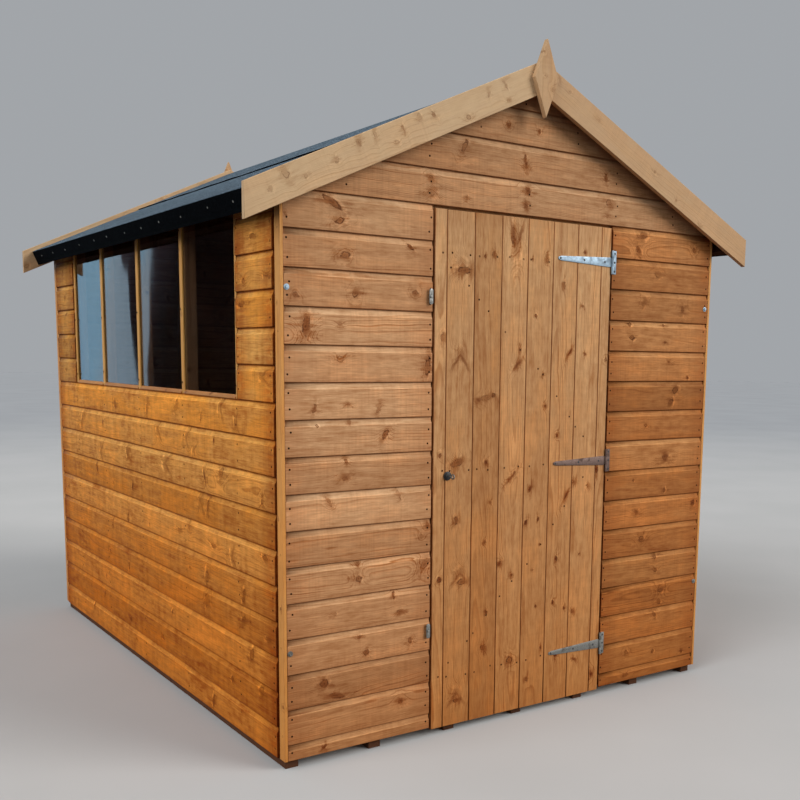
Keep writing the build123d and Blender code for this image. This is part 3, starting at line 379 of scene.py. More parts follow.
M["frame"] = wood("wood_frame", lin(190, 146, 98), lin(176, 126, 80), lin(140, 94, 54), lin(120, 76, 42), lin(80, 48, 28),
                  ring_mix=0.42, streak=0.3, blotch=0.25, saw=0.08, rough=(0.65, 0.85), spec=0.2, ends=0.15)
# painted light: a brighter, redder copy of the frame wood for the left posts, as if lit by daylight through the panes
M["post"] = wood("wood_post_lit", lin(244, 184, 132), lin(236, 166, 112), lin(186, 116, 70), lin(150, 86, 48), lin(96, 52, 30),
                 ring_mix=0.42, streak=0.3, blotch=0.25, saw=0.08, rough=(0.65, 0.85), spec=0.1, ends=0.15)
M["inner"] = wood("wood_inner", lin(204, 160, 112), lin(190, 140, 92), lin(156, 108, 64), lin(132, 84, 46), lin(86, 50, 28),
                  ring_mix=0.42, streak=0.26, blotch=0.25, saw=0.06, rough=(0.65, 0.85), spec=0.2, ends=0.15)
# painted shade: a near-black copy of the frame wood for the rails in the shade under the eaves
M["eave"] = wood("wood_eave_shaded", lin(70, 44, 28), lin(60, 36, 22), lin(44, 26, 16), lin(40, 24, 15), lin(26, 16, 10),
                 ring_mix=0.3, streak=0.4, blotch=0.3, saw=0.05, rough=(0.75, 0.9), spec=0.05, ends=0.2)
# dark reddish bearers: partly the colour of treated timber, partly painted shade under the floor
M["bearer"] = wood("wood_bearer", lin(92, 62, 42), lin(80, 50, 34), lin(60, 36, 24), lin(52, 30, 20), lin(34, 22, 16),
                   ring_mix=0.4, streak=0.5, blotch=0.4, saw=0.08, rough=(0.7, 0.9), spec=0.1, ends=0.2)


def nail_metal(name, base, spot, metal, rough, spec=0.5):
    t = Tree(name)
    co = t.new("TexCoord").outputs["Object"]
    n = t.noise(co, scale=900.0, detail=2.0)
    n2 = t.noise(co, scale=60.0, detail=2.0)
    col = t.mix(t.smooth(n, 0.4, 0.65), base, spot)
    col = t.vec("SCALE", col, scale=t.map(n2, 0.3, 0.7, 0.8, 1.2))
    return t.principled(col, t.map(n, 0.3, 0.7, rough, rough + 0.2), t.bump(n, 0.0002, 0.4), Metallic=metal, Specular_IOR_Level=spec)


def zinc(name, base, dull, stain, rough):
    """Zinc plate with small crystals, dulled in patches."""
    t = Tree(name)
    co = t.new("TexCoord").outputs["Object"]
    n = t.new("TexVoronoi", feature="F1")
    t.put(n.inputs["Vector"], co)
    n.inputs["Scale"].default_value = 260.0
    cell = t.split(n.outputs["Color"])[0]
    patch = t.noise(co, scale=34.0, detail=4.0, rough=0.6)
    grit = t.noise(co, scale=700.0, detail=2.0)
    col = t.mix(t.math("MULTIPLY", cell, 0.5), base, dull)
    col = t.mix(t.smooth(patch, 0.52, 0.68, 0.0, 0.65), col, stain)
    col = t.vec("SCALE", col, scale=t.map(grit, 0.3, 0.7, 0.88, 1.1))
    r = t.math("ADD", t.map(cell, 0.0, 1.0, rough, rough + 0.14), t.smooth(patch, 0.5, 0.7, 0.0, 0.18))
    return t.principled(col, r, t.bump(t.math("ADD", grit, patch), 0.0002, 0.35), Metallic=0.85)


M["nail"] = nail_metal("nail_dark", lin(33, 16, 9), lin(56, 30, 16), 0.0, 0.9, 0.05)
M["nail_brown"] = nail_metal("nail_brown", lin(46, 22, 11), lin(72, 38, 20), 0.0, 0.9, 0.05)
M["zinc"] = zinc("zinc_bright", lin(158, 178, 192), lin(142, 162, 178), lin(130, 144, 156), 0.50)
M["screw_dark"] = nail_metal("screw_dark", lin(58, 58, 60), lin(92, 92, 92), 0.5, 0.55)
M["zinc_dark"] = zinc("zinc_dark", lin(120, 100, 92), lin(98, 80, 72), lin(78, 58, 48), 0.5)
M["zinc_dull"] = zinc("zinc_dull", lin(142, 142, 138), lin(112, 112, 106), lin(88, 82, 74), 0.46)
M["black"] = nail_metal("black_metal", lin(16, 15, 15), lin(30, 28, 27), 0.1, 0.38)


def felt_material(name, base, light, dark, rough, speck, spec):
    """Bitumen felt with crushed mineral pressed into its face."""
    t = Tree(name)
    co = t.new("TexCoord").outputs["Object"]
    v = t.new("TexVoronoi", feature="F1")
    t.put(v.inputs["Vector"], co)
    v.inputs["Scale"].default_value = 330.0
    cell = t.split(v.outputs["Color"])[0]
    patch = t.noise(co, scale=7.0, detail=4.0, rough=0.6)
    wide = t.noise(t.vec("MULTIPLY", co, (3.0, 0.8, 3.0)), detail=3.0)
    col = t.mix(t.smooth(cell, 0.35, 0.95, 0.0, speck), base, light)
    col = t.mix(t.smooth(cell, 0.22, 0.05, 0.0, 0.8), col, dark)
    col = t.vec("SCALE", col, scale=t.math("MULTIPLY", t.map(patch, 0.3, 0.7, 0.86, 1.14), t.map(wide, 0.3, 0.7, 0.85, 1.15)))
    lumps = t.noise(co, scale=85.0, detail=3.0, rough=0.6)
    col = t.vec("SCALE", col, scale=t.map(lumps, 0.3, 0.7, 0.72, 1.3))
    h = t.math("MULTIPLY_ADD", lumps, 1.6, t.math("SUBTRACT", 1.0, v.outputs["Distance"]))
    return t.principled(col, rough, t.bump(h, 0.0012, 0.8), Specular_IOR_Level=spec)


M["felt"] = felt_material("felt_mineral", lin(60, 75, 86), lin(120, 138, 152), lin(20, 27, 33), 0.85, 0.9, 0.12)
# painted shade: a near-black copy of the felt for the folded drops, the backs and the cut ends, which face down or away
# from the light
M["felt_shaded"] = felt_material("felt_drop_shaded", lin(4, 5, 7), lin(20, 25, 29), lin(1, 2, 3), 0.95, 0.4, 0.02)


def glass_material():
    """Thin clear glazing: a Fresnel reflection over a slightly tinted view."""
    t = Tree("glazing")
    co = t.new("TexCoord").outputs["Object"]
    _, py, pz = t.split(co)
    smear = t.noise(t.vec("MULTIPLY", co, (1.0, 2.0, 0.7)), scale=4.0, detail=3.0)
    # the sheets are a little wavy, and the third leans, most at its top
    wave = t.noise(t.vec("MULTIPLY", co, (1.0, 5.0, 2.0)), detail=1.0)
    lean = t.math("MULTIPLY", t.math("LESS_THAN", t.math("ABSOLUTE", t.math("SUBTRACT", py, -0.205)), 0.222),
                  t.map(pz, 1.20, 1.66, -0.0065, -0.0205))
    height = t.math("MULTIPLY_ADD", t.math("SUBTRACT", py, -0.205), lean, t.math("MULTIPLY", wave, 0.0005))
    normal = t.bump(height, 1.0)
    facing = t.new("LayerWeight")
    facing.inputs["Blend"].default_value = 0.5
    fres = t.math("MULTIPLY_ADD", t.math("POWER", facing.outputs["Facing"], 5.0), 0.96, 0.04)
    # painted shade: the tint darkens the shed's inside as seen through the panes, and the light let in
    clear = t.new("BsdfTransparent")
    t.put(clear.inputs[0], t.mix(t.smooth(smear, 0.35, 0.65), (0.70, 0.71, 0.72, 1), (0.64, 0.66, 0.67, 1)))
    shine = t.new("BsdfGlossy")
    shine.inputs["Color"].default_value = (0.95, 0.97, 1.0, 1)
    t.put(shine.inputs["Roughness"], t.map(smear, 0.3, 0.7, 0.015, 0.045))
    t.put(shine.inputs["Normal"], normal)
    m = t.new("MixShader")
    t.put(m.inputs[0], fres)
    t.put(m.inputs[1], clear.outputs[0])
    t.put(m.inputs[2], shine.outputs[0])
    t.put(t.out.inputs["Surface"], m.outputs[0])
    return t.mat


M["glass"] = glass_material()


# ----------------------------------------------------------------------------
# Geometry: boards are made in their own frame (along, across, through), in mm
# ----------------------------------------------------------------------------
def prism(profile, u0, u1, smooth=()):
    bm = bmesh.new()
    a = [bm.verts.new((u0, v, w)) for v, w in profile]
    b = [bm.verts.new((u1, v, w)) for v, w in profile]
    n = len(profile)
    for i in range(n):
        f = bm.faces.new((a[i], a[(i + 1) % n], b[(i + 1) % n], b[i]))
        f.smooth = i in smooth
    bm.faces.new(a[::-1])
    bm.faces.new(b)
    return bm


def cut(bm, point, normal, keep_both=False):
    """Cuts by a plane; the side that the normal points to is removed and the cut closed."""
    geom = bm.verts[:] + bm.edges[:] + bm.faces[:]
    r = bmesh.ops.bisect_plane(bm, geom=geom, plane_co=point, plane_no=normal, dist=1e-4,
                               clear_outer=not keep_both, clear_inner=False)
    if not keep_both:
        edges = [e for e in r["geom_cut"] if isinstance(e, bmesh.types.BMEdge) and e.is_boundary]
        if edges:
            bmesh.ops.holes_fill(bm, edges=edges, sides=0)


class Boards:
    """One mesh of many boards, each with grain, knots and tone of its own."""

    def __init__(self, name, mats, seed):
        self.name, self.mats, self.rng = name, mats, random.Random(seed)
        self.co, self.faces, self.fm, self.fs = [], [], [], []
        self.data = {k: [] for k in ("gp", "ka", "kb", "kr", "kk", "tone", "ed")}

    def add(self, bm, origin, U, V, W, knots=(), tone=None, hue=None, rings=None, mat=0,
            wave=0.0, pith=None, width=None, skew=0.012, step=260.0):
        """bm is in (along, across, through), mm. knots are (u, v, ru, rv[, strength[, lean[, kind]]])."""
        r = self.rng
        us = [x.co.x for x in bm.verts]
        vs = [x.co.y for x in bm.verts]
        ws = [x.co.z for x in bm.verts]
        u0, u1, v0, v1 = min(us), max(us), min(vs), max(vs)
        wid = width or (v1 - v0)
        layers = [[], []]
        for i, k in enumerate(sorted(knots)):
            k = tuple(k) + (r.uniform(0.65, 1.0), r.uniform(-0.5, 0.5) if k[3] > 1.3 * k[2] else r.uniform(-0.15, 0.15),
                            r.choice((0.15, 0.35, 0.7, 0.95)))[len(k) - 4:]
            layers[i % 2].append(k)
        at = set()
        for ks in layers:
            for a, b in zip(ks, ks[1:]):
                at.add(round((a[0] + b[0]) / 2, 1))
        if wave:
            n = int((u1 - u0) / step)
            at.update(u0 + (u1 - u0) * i / (n + 1) for i in range(1, n + 1))
        for c in sorted(at):
            if u0 + 0.5 < c < u1 - 0.5:
                cut(bm, (c, 0, 0), (1, 0, 0), keep_both=True)
        pv = r.uniform(-0.2, 1.2) * wid if pith is None else pith[0]
        pw = r.choice((1, 1, -1)) * r.uniform(20, 85) if pith is None else pith[1]
        tv, tw = r.uniform(-skew, skew), r.uniform(-skew, skew) * 1.5
        su, s1, s2 = r.uniform(0, 900), r.uniform(0, 90), r.uniform(0, 90)
        tb = r.uniform(0.92, 1.07) if tone is None else tone
        th = r.random() if hue is None else hue
        tr = r.uniform(0.6, 1.15) if rings is None else rings
        nb = len(self.co)
        bm.verts.ensure_lookup_table()
        bm.verts.index_update()
        loc = []
        for x in bm.verts:
            a, b, c = x.co
            loc.append((a, b, c))
            if wave:
                b += wave * 1.2 * mnoise.noise(Vector((a / 420.0, s1, 0)))
                c += wave * (0.6 + 0.6 * mnoise.noise(Vector((a / 500.0, s2, 7))))
            x.co = (Vector(origin) + U * a + V * b + W * c) * 0.001
        bmesh.ops.recalc_face_normals(bm, faces=bm.faces[:])
        self.co.extend(tuple(x.co) for x in bm.verts)
        for f in bm.faces:
            ids = [x.index for x in f.verts]
            self.faces.append([nb + i for i in ids])
            self.fm.append(mat)
            self.fs.append(f.smooth)
            cu = sum(loc[i][0] for i in ids) / len(ids)
            near = [min(ks, key=lambda k: abs(k[0] - cu)) if ks else None for ks in layers]
            for i in ids:
                a, b, c = loc[i]
                self.data["gp"].append(((a + su) * 0.001, (b - pv + tv * a) * 0.001, (c - pw + tw * a) * 0.001))
                for key, k in zip(("ka", "kb"), near):
                    if k is None:
                        self.data[key].append((9.0, 9.0, 0.0))
                    else:
                        self.data[key].append(((a - k[0] - k[5] * (b - k[1])) / k[2], (b - k[1]) / k[3], k[4]))
                self.data["kr"].append(tuple(0.0 if k is None else min(abs(k[2]), k[3]) * 0.001 for k in near) + (0.0,))
                self.data["kk"].append(tuple(0.0 if k is None else k[6] for k in near) + (0.0,))
                self.data["tone"].append((tb, th, tr))
                self.data["ed"].append((min(a - u0, u1 - a) * 0.001, (b - v0) * 0.001, wid * 0.001))
        bm.free()

    def random_knots(self, length, width, spacing=430.0, size=(5, 12), tall=1.0, u0=0.0, avoid=()):
        r, out, u = self.rng, [], u0 + self.rng.uniform(20, spacing)
        while u < u0 + length - 15:
            if all(abs(u - a[0]) > 90 for a in avoid):
                s = r.uniform(*size)
                out.append((u, r.uniform(0.15, 0.85) * width, s * r.uniform(0.8, 1.3),
                            s * r.uniform(0.8, 1.2) * (tall if r.random() < 0.4 else 1.0), r.uniform(0.55, 1.0)))
            u += r.uniform(0.35, 1.6) * spacing
        return out

    def build(self, body, slot, replaces=()):
        me = bpy.data.meshes.new(self.name)
        me.from_pydata(self.co, [], self.faces)
        for m in self.mats:
            me.materials.append(M[m])
        me.polygons.foreach_set("material_index", self.fm)
        me.polygons.foreach_set("use_smooth", self.fs)
        for key, values in self.data.items():
            a = me.attributes.new(key, "FLOAT_VECTOR", "CORNER")
            a.data.foreach_set("vector", np.array(values, np.float32).ravel())
        me.update()
        o = bpy.data.objects.new(self.name, me)
        bpy.context.scene.collection.objects.link(o)
        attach(o, body)
        if replaces:
            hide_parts(*replaces)
        return o


def shiplap_profile(h):
    """Cross-section of one shiplap board: rounded lower lip, flat face, hollow
    cove at the top, and the tongue that goes up behind the next board."""
    pts = [(0.0, 1.5), (0.5, 0.5), (1.5, 0.0), (h - 21.0, 0.0)]
    t0 = math.radians(28)
    for i in range(1, 8):
        a = t0 + (math.pi / 2 - t0) * i / 7
        pts.append((h - 21.0 + 20.0 * (math.cos(t0) - math.cos(a)) / math.cos(t0),
                    6.2 * (math.sin(a) - math.sin(t0)) / (1 - math.sin(t0))))
    pts += [(h + 7.0, 6.2), (h + 7.0, 12.0), (7.6, 12.0), (7.6, 5.7), (0.0, 5.7)]
    return pts


def shiplap(P, x0, x1, lines, place, knots=None, tones=None, planes=(), top=None, spacing=430.0,
            size=(5, 12), tall=1.0, jit=(1.2, 1.2), wave=0.35, hues=None, first=0):
    """A wall of boards between two ends; lines are the boards' lower edges."""
    O, U, W = place
    for k, (z0, z1) in enumerate(zip(lines, lines[1:])):
        k += first
        r = P.rng
        h = z1 - z0
        bm = prism(shiplap_profile(h), x0 + r.uniform(0, jit[0]), x1 - r.uniform(0, jit[1]),
                   smooth=(0, 1) + tuple(range(3, 10)))
        for point, normal in planes:
            cut(bm, (point[0], point[1] - z0, 0), (normal[0], normal[1], 0))
        if top is not None and z1 + 7.0 > top:
            cut(bm, (0, top - z0, 0), (0, 1, 0))
        if not bm.faces:
            bm.free()
            continue
        given = list((knots or {}).get(k, ()))
        extra = P.random_knots(x1 - x0, h, spacing, size, tall, x0, given) if spacing else []
        P.add(bm, O + Z * z0, U, Z, W, knots=given + extra, wave=wave, width=h,
              tone=(tones or {}).get(k), hue=(hues or {}).get(k))


# ----------------------------------------------------------------------------
# Cladding
# ----------------------------------------------------------------------------
FRONT_LINES = [BASE_GAP] + [81.3 + COVER * k for k in range(15)] + [HEAD_Z]
GABLE_LINES = [HEAD_Z, 1868.0, 1984.0, 2096.0, 2212.0]
FRONT = (Vector((0, YF, 0)), X, Y)
ROOF_CUTS = (((0, WALL_APEX), (SLOPE, 1.0)), ((0, WALL_APEX), (-SLOPE, 1.0)))

LEFT_KNOTS = {
    0: [(-790, 19, 6, 9)], 1: [(-507, 66, 10, 10)], 2: [(-789, 66, 14, 13, 1.0, 0.0, 0.7), (-748, 18, 24, 10, 0.9, -1.5, 0.7)],
    3: [(-637, 30, 9, 12), (-661, 84, 7, 7), (-470, 45, 8, 12)], 4: [(-533, 94, 6, 10), (-509, 34, 12, 8), (-753, 58, 8, 6, 0.6)],
    5: [(-667, 98, 7, 8), (-664, 50, 11, 10), (-417, 69, 14, 20)], 6: [(-404, 88, 9, 9), (-428, 55, 7, 7, 0.7)],
    7: [(-769, 81, 6, 16, 0.8), (-516, 88, 6, 16, 0.7)], 8: [(-713, 42, 14, 10), (-706, 90, 6, 12, 0.8)],
    9: [(-808, 93, 6, 5), (-695, 98, 7, 7), (-569, 57, 9, 15)], 10: [(-815, 34, 7, 15), (-703, 45, 9, 7), (-591, 30, 6, 15)],
    11: [(-729, 70, 12, 9, 0.7, 0.4, 0.1), (-410, 51, 11, 30, 1.0, 0.15, 0.25)], 12: [(-842, 55, 13, 30, 1.0, 0.1, 0.9), (-838, 84, 9, 8, 0.9), (-729, 62, 7, 6, 0.6)],
    13: [(-677, 44, 12, 11), (-458, 54, 11, 10, 0.7), (-876, 32, 10, 10, 0.6)], 14: [(-478, 84, 9, 10, 1.0, -1.0, 0.95), (-711, 45, 16, 10, 0.9, 0.3, 0.45)],
    15: [(-754, 84, 18, 20, 0.95, -1.3, 0.55), (-727, 32, 16, 11, 1.0, 0.7, 0.5), (-907, 38, 6, 7)],
}
RIGHT_KNOTS = {
    0: [(533, 23, 10, 6, 0.7)], 1: [(534, 64, 8, 8), (682, 44, 7, 7), (849, 17, 6, 6)], 2: [(682, 84, 9, 12)],
    3: [(711, 67, 12, 11), (706, 18, 10, 9)], 4: [(674, 96, 9, 10), (679, 40, 8, 8)], 5: [(593, 61, 14, 12, 0.8)],
    6: [(560, 56, 12, 10), (878, 71, 10, 13)], 7: [(710, 22, 8, 8), (540, 70, 5, 5)], 8: [(708, 40, 18, 15, 0.9)],
    9: [(596, 56, 8, 7)], 10: [(749, 77, 17, 15, 0.9, 0.2, 0.45), (727, 29, 13, 14, 0.9, 0.3, 0.45)], 11: [(709, 71, 9, 7), (817, 10, 7, 6)],
    12: [(491, 98, 12, 7, 1.0), (673, 99, 7, 5, 1.0), (504, 50, 14, 9, 0.9, 0.0, 0.4), (684, 35, 7, 6)], 13: [(561, 69, 8, 14, 0.8), (772, 50, 9, 16, 0.8, 0.0, 0.5)],
    14: [(627, 62, 15, 11, 0.6)], 15: [(545, 90, 20, 14, 1.0, 0.4, 1.4), (522, 35, 11, 14, 1.0, -0.4, 1.2), (822, 56, 8, 9)],
}
GABLE_KNOTS = {
    0: [(-399, 37, 14, 13), (-402, 80, 9, 11), (-10, 80, 12, 12), (-16, 34, 8, 14), (365, 79, 14, 13), (360, 30, 7, 7, 0.6)],
    1: [(-273, 80, 9, 22), (-21, 60, 7, 24), (347, 50, 7, 14)], 2: [(-96, 56, 8, 7), (35, 50, 6, 7)],
}
LEFT_TONES = {0: 0.97, 1: 0.98, 2: 0.88, 3: 1.03, 4: 1.0, 5: 1.01, 6: 0.92, 7: 1.03, 8: 0.93, 9: 1.0, 10: 1.04,
              11: 1.0, 12: 1.02, 13: 0.95, 14: 0.94, 15: 0.94}
LEFT_HUES = {0: 0.2, 1: 0.5, 2: 0.9, 3: 0.4, 4: 0.6, 5: 0.4, 6: 0.9, 7: 0.3, 8: 0.9, 9: 0.4, 10: 0.3, 11: 0.6,
             12: 0.3, 13: 0.8, 14: 0.8, 15: 0.3}

P = Boards("front_boards_left", ["end"], 101)
shiplap(P, -HALF_W, OPEN_X0, FRONT_LINES, FRONT, LEFT_KNOTS, LEFT_TONES, spacing=0, hues=LEFT_HUES)
P.build("shed", "end_cladding", ["front_cladding_left"])

P = Boards("front_boards_right", ["end_right"], 102)
shiplap(P, OPEN_X1, HALF_W, FRONT_LINES, FRONT, RIGHT_KNOTS, {10: 0.86, 9: 1.02, 14: 0.95, 12: 1.03, 4: 0.93, 3: 0.93, 7: 0.97},
        spacing=0, hues={10: 1.0, 0: 1.0, 14: 0.8})
P.build("shed", "end_cladding", ["front_cladding_right"])

P = Boards("front_boards_gable", ["end"], 103)
# the gable boards' low tones are partly their own, partly painted shade under the bargeboards
shiplap(P, -HALF_W, HALF_W, GABLE_LINES, FRONT, GABLE_KNOTS, {0: 0.875, 1: 0.85, 2: 0.885}, planes=ROOF_CUTS,
        spacing=900, size=(4, 7), hues={0: 0.4, 1: 0.7, 2: 0.5})
P.build("shed", "end_cladding", ["front_gable_cladding"])

P = Boards("back_boards", ["end"], 104)
BACK = (Vector((0, YB, 0)), X * -1, Y * -1)
shiplap(P, -HALF_W, HALF_W, FRONT_LINES[:-1] + GABLE_LINES, BACK, planes=ROOF_CUTS, spacing=420, size=(5, 12), tall=2.0)
P.build("shed", "end_cladding", ["back_cladding"])

SIDE_LINES = [BASE_GAP] + [131.6 + COVER * k for k in range(16)]
LEFT = (Vector((-SIDE_OUT, YF, 0)), Y, X)
RIGHT = (Vector((SIDE_OUT, YF, 0)), Y, X * -1)
SIDE_KNOTS = {
    1: [(154, 84, 8, 16)], 2: [(227, 74, 8, 22)], 3: [(286, 65, 6, 20), (604, 59, 6, 22), (104, 41, 8, 10)],
    4: [(599, 40, 8, 32), (283, 35, 7, 26)],
    5: [(853, 55, 9, 9), (529, 48, 12, 9), (118, 75, 7, 14), (376, 35, 7, 22), (760, 85, 6, 20)],
    6: [(648, 82, 7, 30), (575, 71, 6, 26)],
    7: [(1811, 42, 7, 30), (1438, 72, 8, 28), (994, 66, 11, 24), (455, 84, 7, 26)],
    8: [(2084, 53, 7, 42), (1067, 80, 7, 22), (770, 69, 6, 22), (700, 28, 6, 16)],
    9: [(860, 66, 7, 32), (453, 82, 7, 24), (325, 28, 6, 22), (1182, 38, 7, 24), (1586, 38, 6, 20)],
    10: [(123, 74, 8, 12)], 12: [(270, 70, 10, 9)], 13: [(85, 43, 8, 8), (250, 30, 7, 9)], 14: [(180, 50, 8, 7)],
}
r = random.Random(77)
for k, rows in SIDE_KNOTS.items():
    SIDE_KNOTS[k] = [(u, v, ru * r.uniform(1.7, 2.3), rv * r.uniform(0.7, 0.95), r.uniform(0.55, 0.85), r.uniform(-0.5, 0.5),
                      r.choice((0.15, 0.3, 0.45, 1.8))) for u, v, ru, rv in rows]
y0, y1 = SIDE_Y0 - YF, SIDE_Y1 - YF
P = Boards("left_boards_lower", ["side"], 105)
shiplap(P, y0 + 3.0, y1, SIDE_LINES[:11], LEFT, SIDE_KNOTS, {1: 0.95, 4: 0.97, 6: 0.9, 8: 0.97, 5: 1.02, 9: 1.04}, top=WIN_Z0,
        spacing=650, size=(5, 9), tall=2.6, jit=(5.0, 4.0), wave=0.5)
P.build("shed", "side_cladding", ["left_cladding_lower"])

P = Boards("left_boards_front", ["side"], 106)
shiplap(P, y0 + 3.0, WIN_Y0 - 10.0 - YF, SIDE_LINES[10:], LEFT, SIDE_KNOTS, {}, top=SIDE_TOP, spacing=0, jit=(5.0, 1.5), wave=0.4, first=10)
P.build("shed", "side_cladding", ["left_cladding_front"])

P = Boards("left_boards_back", ["side"], 107)
# painted shadow: tones of 0.62 to 0.70 darken these boards as if they stood in shade
shiplap(P, WIN_Y1 + 10.0 - YF, y1, SIDE_LINES[10:], LEFT, {}, {10: 0.70, 11: 0.66, 12: 0.68, 13: 0.70, 14: 0.66, 15: 0.62}, top=SIDE_TOP, spacing=180,
        size=(5, 8), jit=(1.5, 4.0), wave=0.4, first=10)
P.build("shed", "side_cladding", ["left_cladding_back"])

P = Boards("right_boards", ["side"], 108)
shiplap(P, y0, y1, SIDE_LINES, RIGHT, {}, {}, top=SIDE_TOP, spacing=520, size=(5, 11), tall=2.4, jit=(3.0, 3.0), wave=0.5)
P.build("shed", "side_cladding", ["right_cladding"])


# ----------------------------------------------------------------------------
# Timbers: each solid of a node becomes a planed or sawn piece with eased edges
# ----------------------------------------------------------------------------
def solids_of(node):
    """The separate solids of a CAD node, as clean bmeshes in mm."""
    bm = bmesh.new()
    bm.from_mesh(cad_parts[node].data)
    bmesh.ops.remove_doubles(bm, verts=bm.verts[:], dist=2e-5)
    bmesh.ops.scale(bm, vec=(1000, 1000, 1000), verts=bm.verts[:])
    bmesh.ops.dissolve_limit(bm, angle_limit=math.radians(1.0), verts=bm.verts[:], edges=bm.edges[:],
                             use_dissolve_boundaries=False)
    seen, out = set(), []
    bm.faces.ensure_lookup_table()
    for start in bm.faces:
        if start.index in seen:
            continue
        stack, island = [start], []
        seen.add(start.index)
        while stack:
            f = stack.pop()
            island.append(f)
            for e in f.edges:
                for g in e.link_faces:
                    if g.index not in seen:
                        seen.add(g.index)
                        stack.append(g)
        verts, new = {}, bmesh.new()
        for f in island:
            for v in f.verts:
                if v.index not in verts:
                    verts[v.index] = new.verts.new(v.co)
        for f in island:
            new.faces.new([verts[v.index] for v in f.verts])
        new.normal_update()
        out.append(new)
    bm.free()
    return out


def timber(P, bm, ease=1.2, along=None, out=None, knots=None, mat=0, wave=0.0, seg=2, **kw):
    """Eases the edges of one solid, finds its length and faces, and adds it."""
    edges = [e for e in bm.edges if e.is_manifold and e.calc_face_angle(0) > math.radians(20)]
    vecs = sorted(((e.verts[1].co - e.verts[0].co) for e in bm.edges), key=lambda d: -d.length)
    U = Vector(along) if along else vecs[0].normalized()
    if sum(U) < 0:
        U = -U
    if out is not None:
        W = Vector(out)
        W = (W - U * W.dot(U)).normalized()
        V = W.cross(U)
    else:
        side = max((d - U * d.dot(U) for d in vecs), key=lambda d: d.length)
        V = side.normalized()
        W = U.cross(V)
    if V.z < -0.1 or (abs(V.z) <= 0.1 and V.x + V.y < 0):
        V = -V
    co = [v.co.copy() for v in bm.verts]
    O = U * min(c.dot(U) for c in co) + V * min(c.dot(V) for c in co) + W * min(c.dot(W) for c in co)
    if ease:
        r = bmesh.ops.bevel(bm, geom=edges, offset=ease, segments=seg, profile=0.5, affect="EDGES",
                            clamp_overlap=True)
        for f in r["faces"]:
            f.smooth = True
    for v in bm.verts:
        d = v.co - O
        v.co = (d.dot(U), d.dot(V), d.dot(W))
    length = max(v.co.x for v in bm.verts)
    width = max(v.co.y for v in bm.verts)
    if callable(knots):
        knots = knots(length, width)
    P.add(bm, O, U, V, W, knots=knots or (), wave=wave, mat=mat, width=width, **kw)


def timbers(name, node, mats, slot, seed, spacing=520, size=(4, 8), ease=1.2, body="shed", mat_of=None, **kw):
    P = Boards(name, mats, seed)
    for bm in solids_of(node):
        m = mat_of(bm) if mat_of else 0
        timber(P, bm, ease=ease, mat=m,
               knots=(lambda L, H: P.random_knots(L, H, spacing, size)) if spacing else None, **kw)
    return P.build(body, slot, [node])


timbers("posts_front", "front_posts", ["frame"], "frame_wood", 201)
timbers("rails_front", "front_rails", ["frame"], "frame_wood", 202)
timbers("rafters_front", "front_rafters", ["frame"], "frame_wood", 203)
timbers("posts_back", "back_posts", ["frame"], "frame_wood", 204)
timbers("rails_back", "back_rails", ["frame"], "frame_wood", 205)
timbers("rafters_back", "back_rafters", ["frame"], "frame_wood", 206)
timbers("posts_right", "right_posts", ["frame"], "frame_wood", 207)
timbers("rails_right", "right_rails", ["frame"], "frame_wood", 208)
timbers("posts_left", "left_posts", ["post"], "frame_wood", 209)
timbers("rails_left", "left_rails", ["frame"], "frame_wood", 210)
timbers("stops_door", "door_stops", ["frame"], "frame_wood", 211)
timbers("purlins", "roof_purlins", ["frame"], "frame_wood", 212)
timbers("rails_eave", "eave_rails", ["eave"], "frame_wood", 213, ease=0.8)
timbers("bearers", "floor_bearers", ["bearer"], "bearer_wood", 214, ease=1.5)
timbers("ledges", "door_ledges", ["inner"], "door_wood", 215, ease=2.0, body="door", spacing=260)
timbers("braces", "door_braces", ["inner"], "door_wood", 216, ease=2.0, body="door", spacing=300)
timbers("sill", "window_sill", ["sill"], "treated_trim", 217, ease=1.0, spacing=420, size=(4, 6))
timbers("beads", "window_beads", ["trim"], "treated_trim", 218, ease=1.3, spacing=330, size=(3, 5))
timbers("strips_corner", "corner_strips", ["strip"], "treated_trim", 219, ease=1.0, spacing=420, size=(3, 6))
timbers("strip_over_window", "left_cladding_top", ["side"], "side_cladding", 220, ease=0.8)

# bargeboards, with their knots placed from the ridge end
BARGE_L = [(141, 80, 9, 7), (160, 25, 6, 15), (224, 31, 6, 14), (300, 82, 10, 9), (432, 32, 6, 15), (485, 22, 8, 15),
           (541, 40, 5, 16), (565, 66, 7, 7), (641, 18, 6, 17), (696, 22, 9, 17), (772, 46, 8, 8), (868, 57, 6, 7),
           (933, 24, 10, 22), (980, 52, 9, 8)]
BARGE_R = [(70, 18, 6, 8), (116, 27, 6, 6), (251, 35, 8, 7), (533, 44, 7, 8), (649, 77, 6, 6), (785, 92, 7, 7)]


def barge(name, node, side, seed, given=None, tone=1.0, hue=0.3):
    P = Boards(name, ["bare"], seed)
    (bm,) = solids_of(node)
    U = Vector((side * CA, 0, -SA))
    if sum(U) < 0:
        U = -U
    from_ridge = (U.x > 0) == (side > 0)

    def place(length, width):
        if given is None:
            return P.random_knots(length, width, 150, (5, 9))
        out = []
        for x, d, ru, rv in given:
            s = x / CA + (d * SA if side else 0)
            out.append(((s if from_ridge else length - s), max(8.0, width - d * CA), ru, rv * P.rng.uniform(0.7, 1.1), P.rng.uniform(0.35, 0.75)))
        return out

    timber(P, bm, ease=1.6, along=U, out=(0, 1, 0), knots=place, tone=tone, hue=hue, rings=0.8)
    return P.build("shed", "bare_trim", [node])


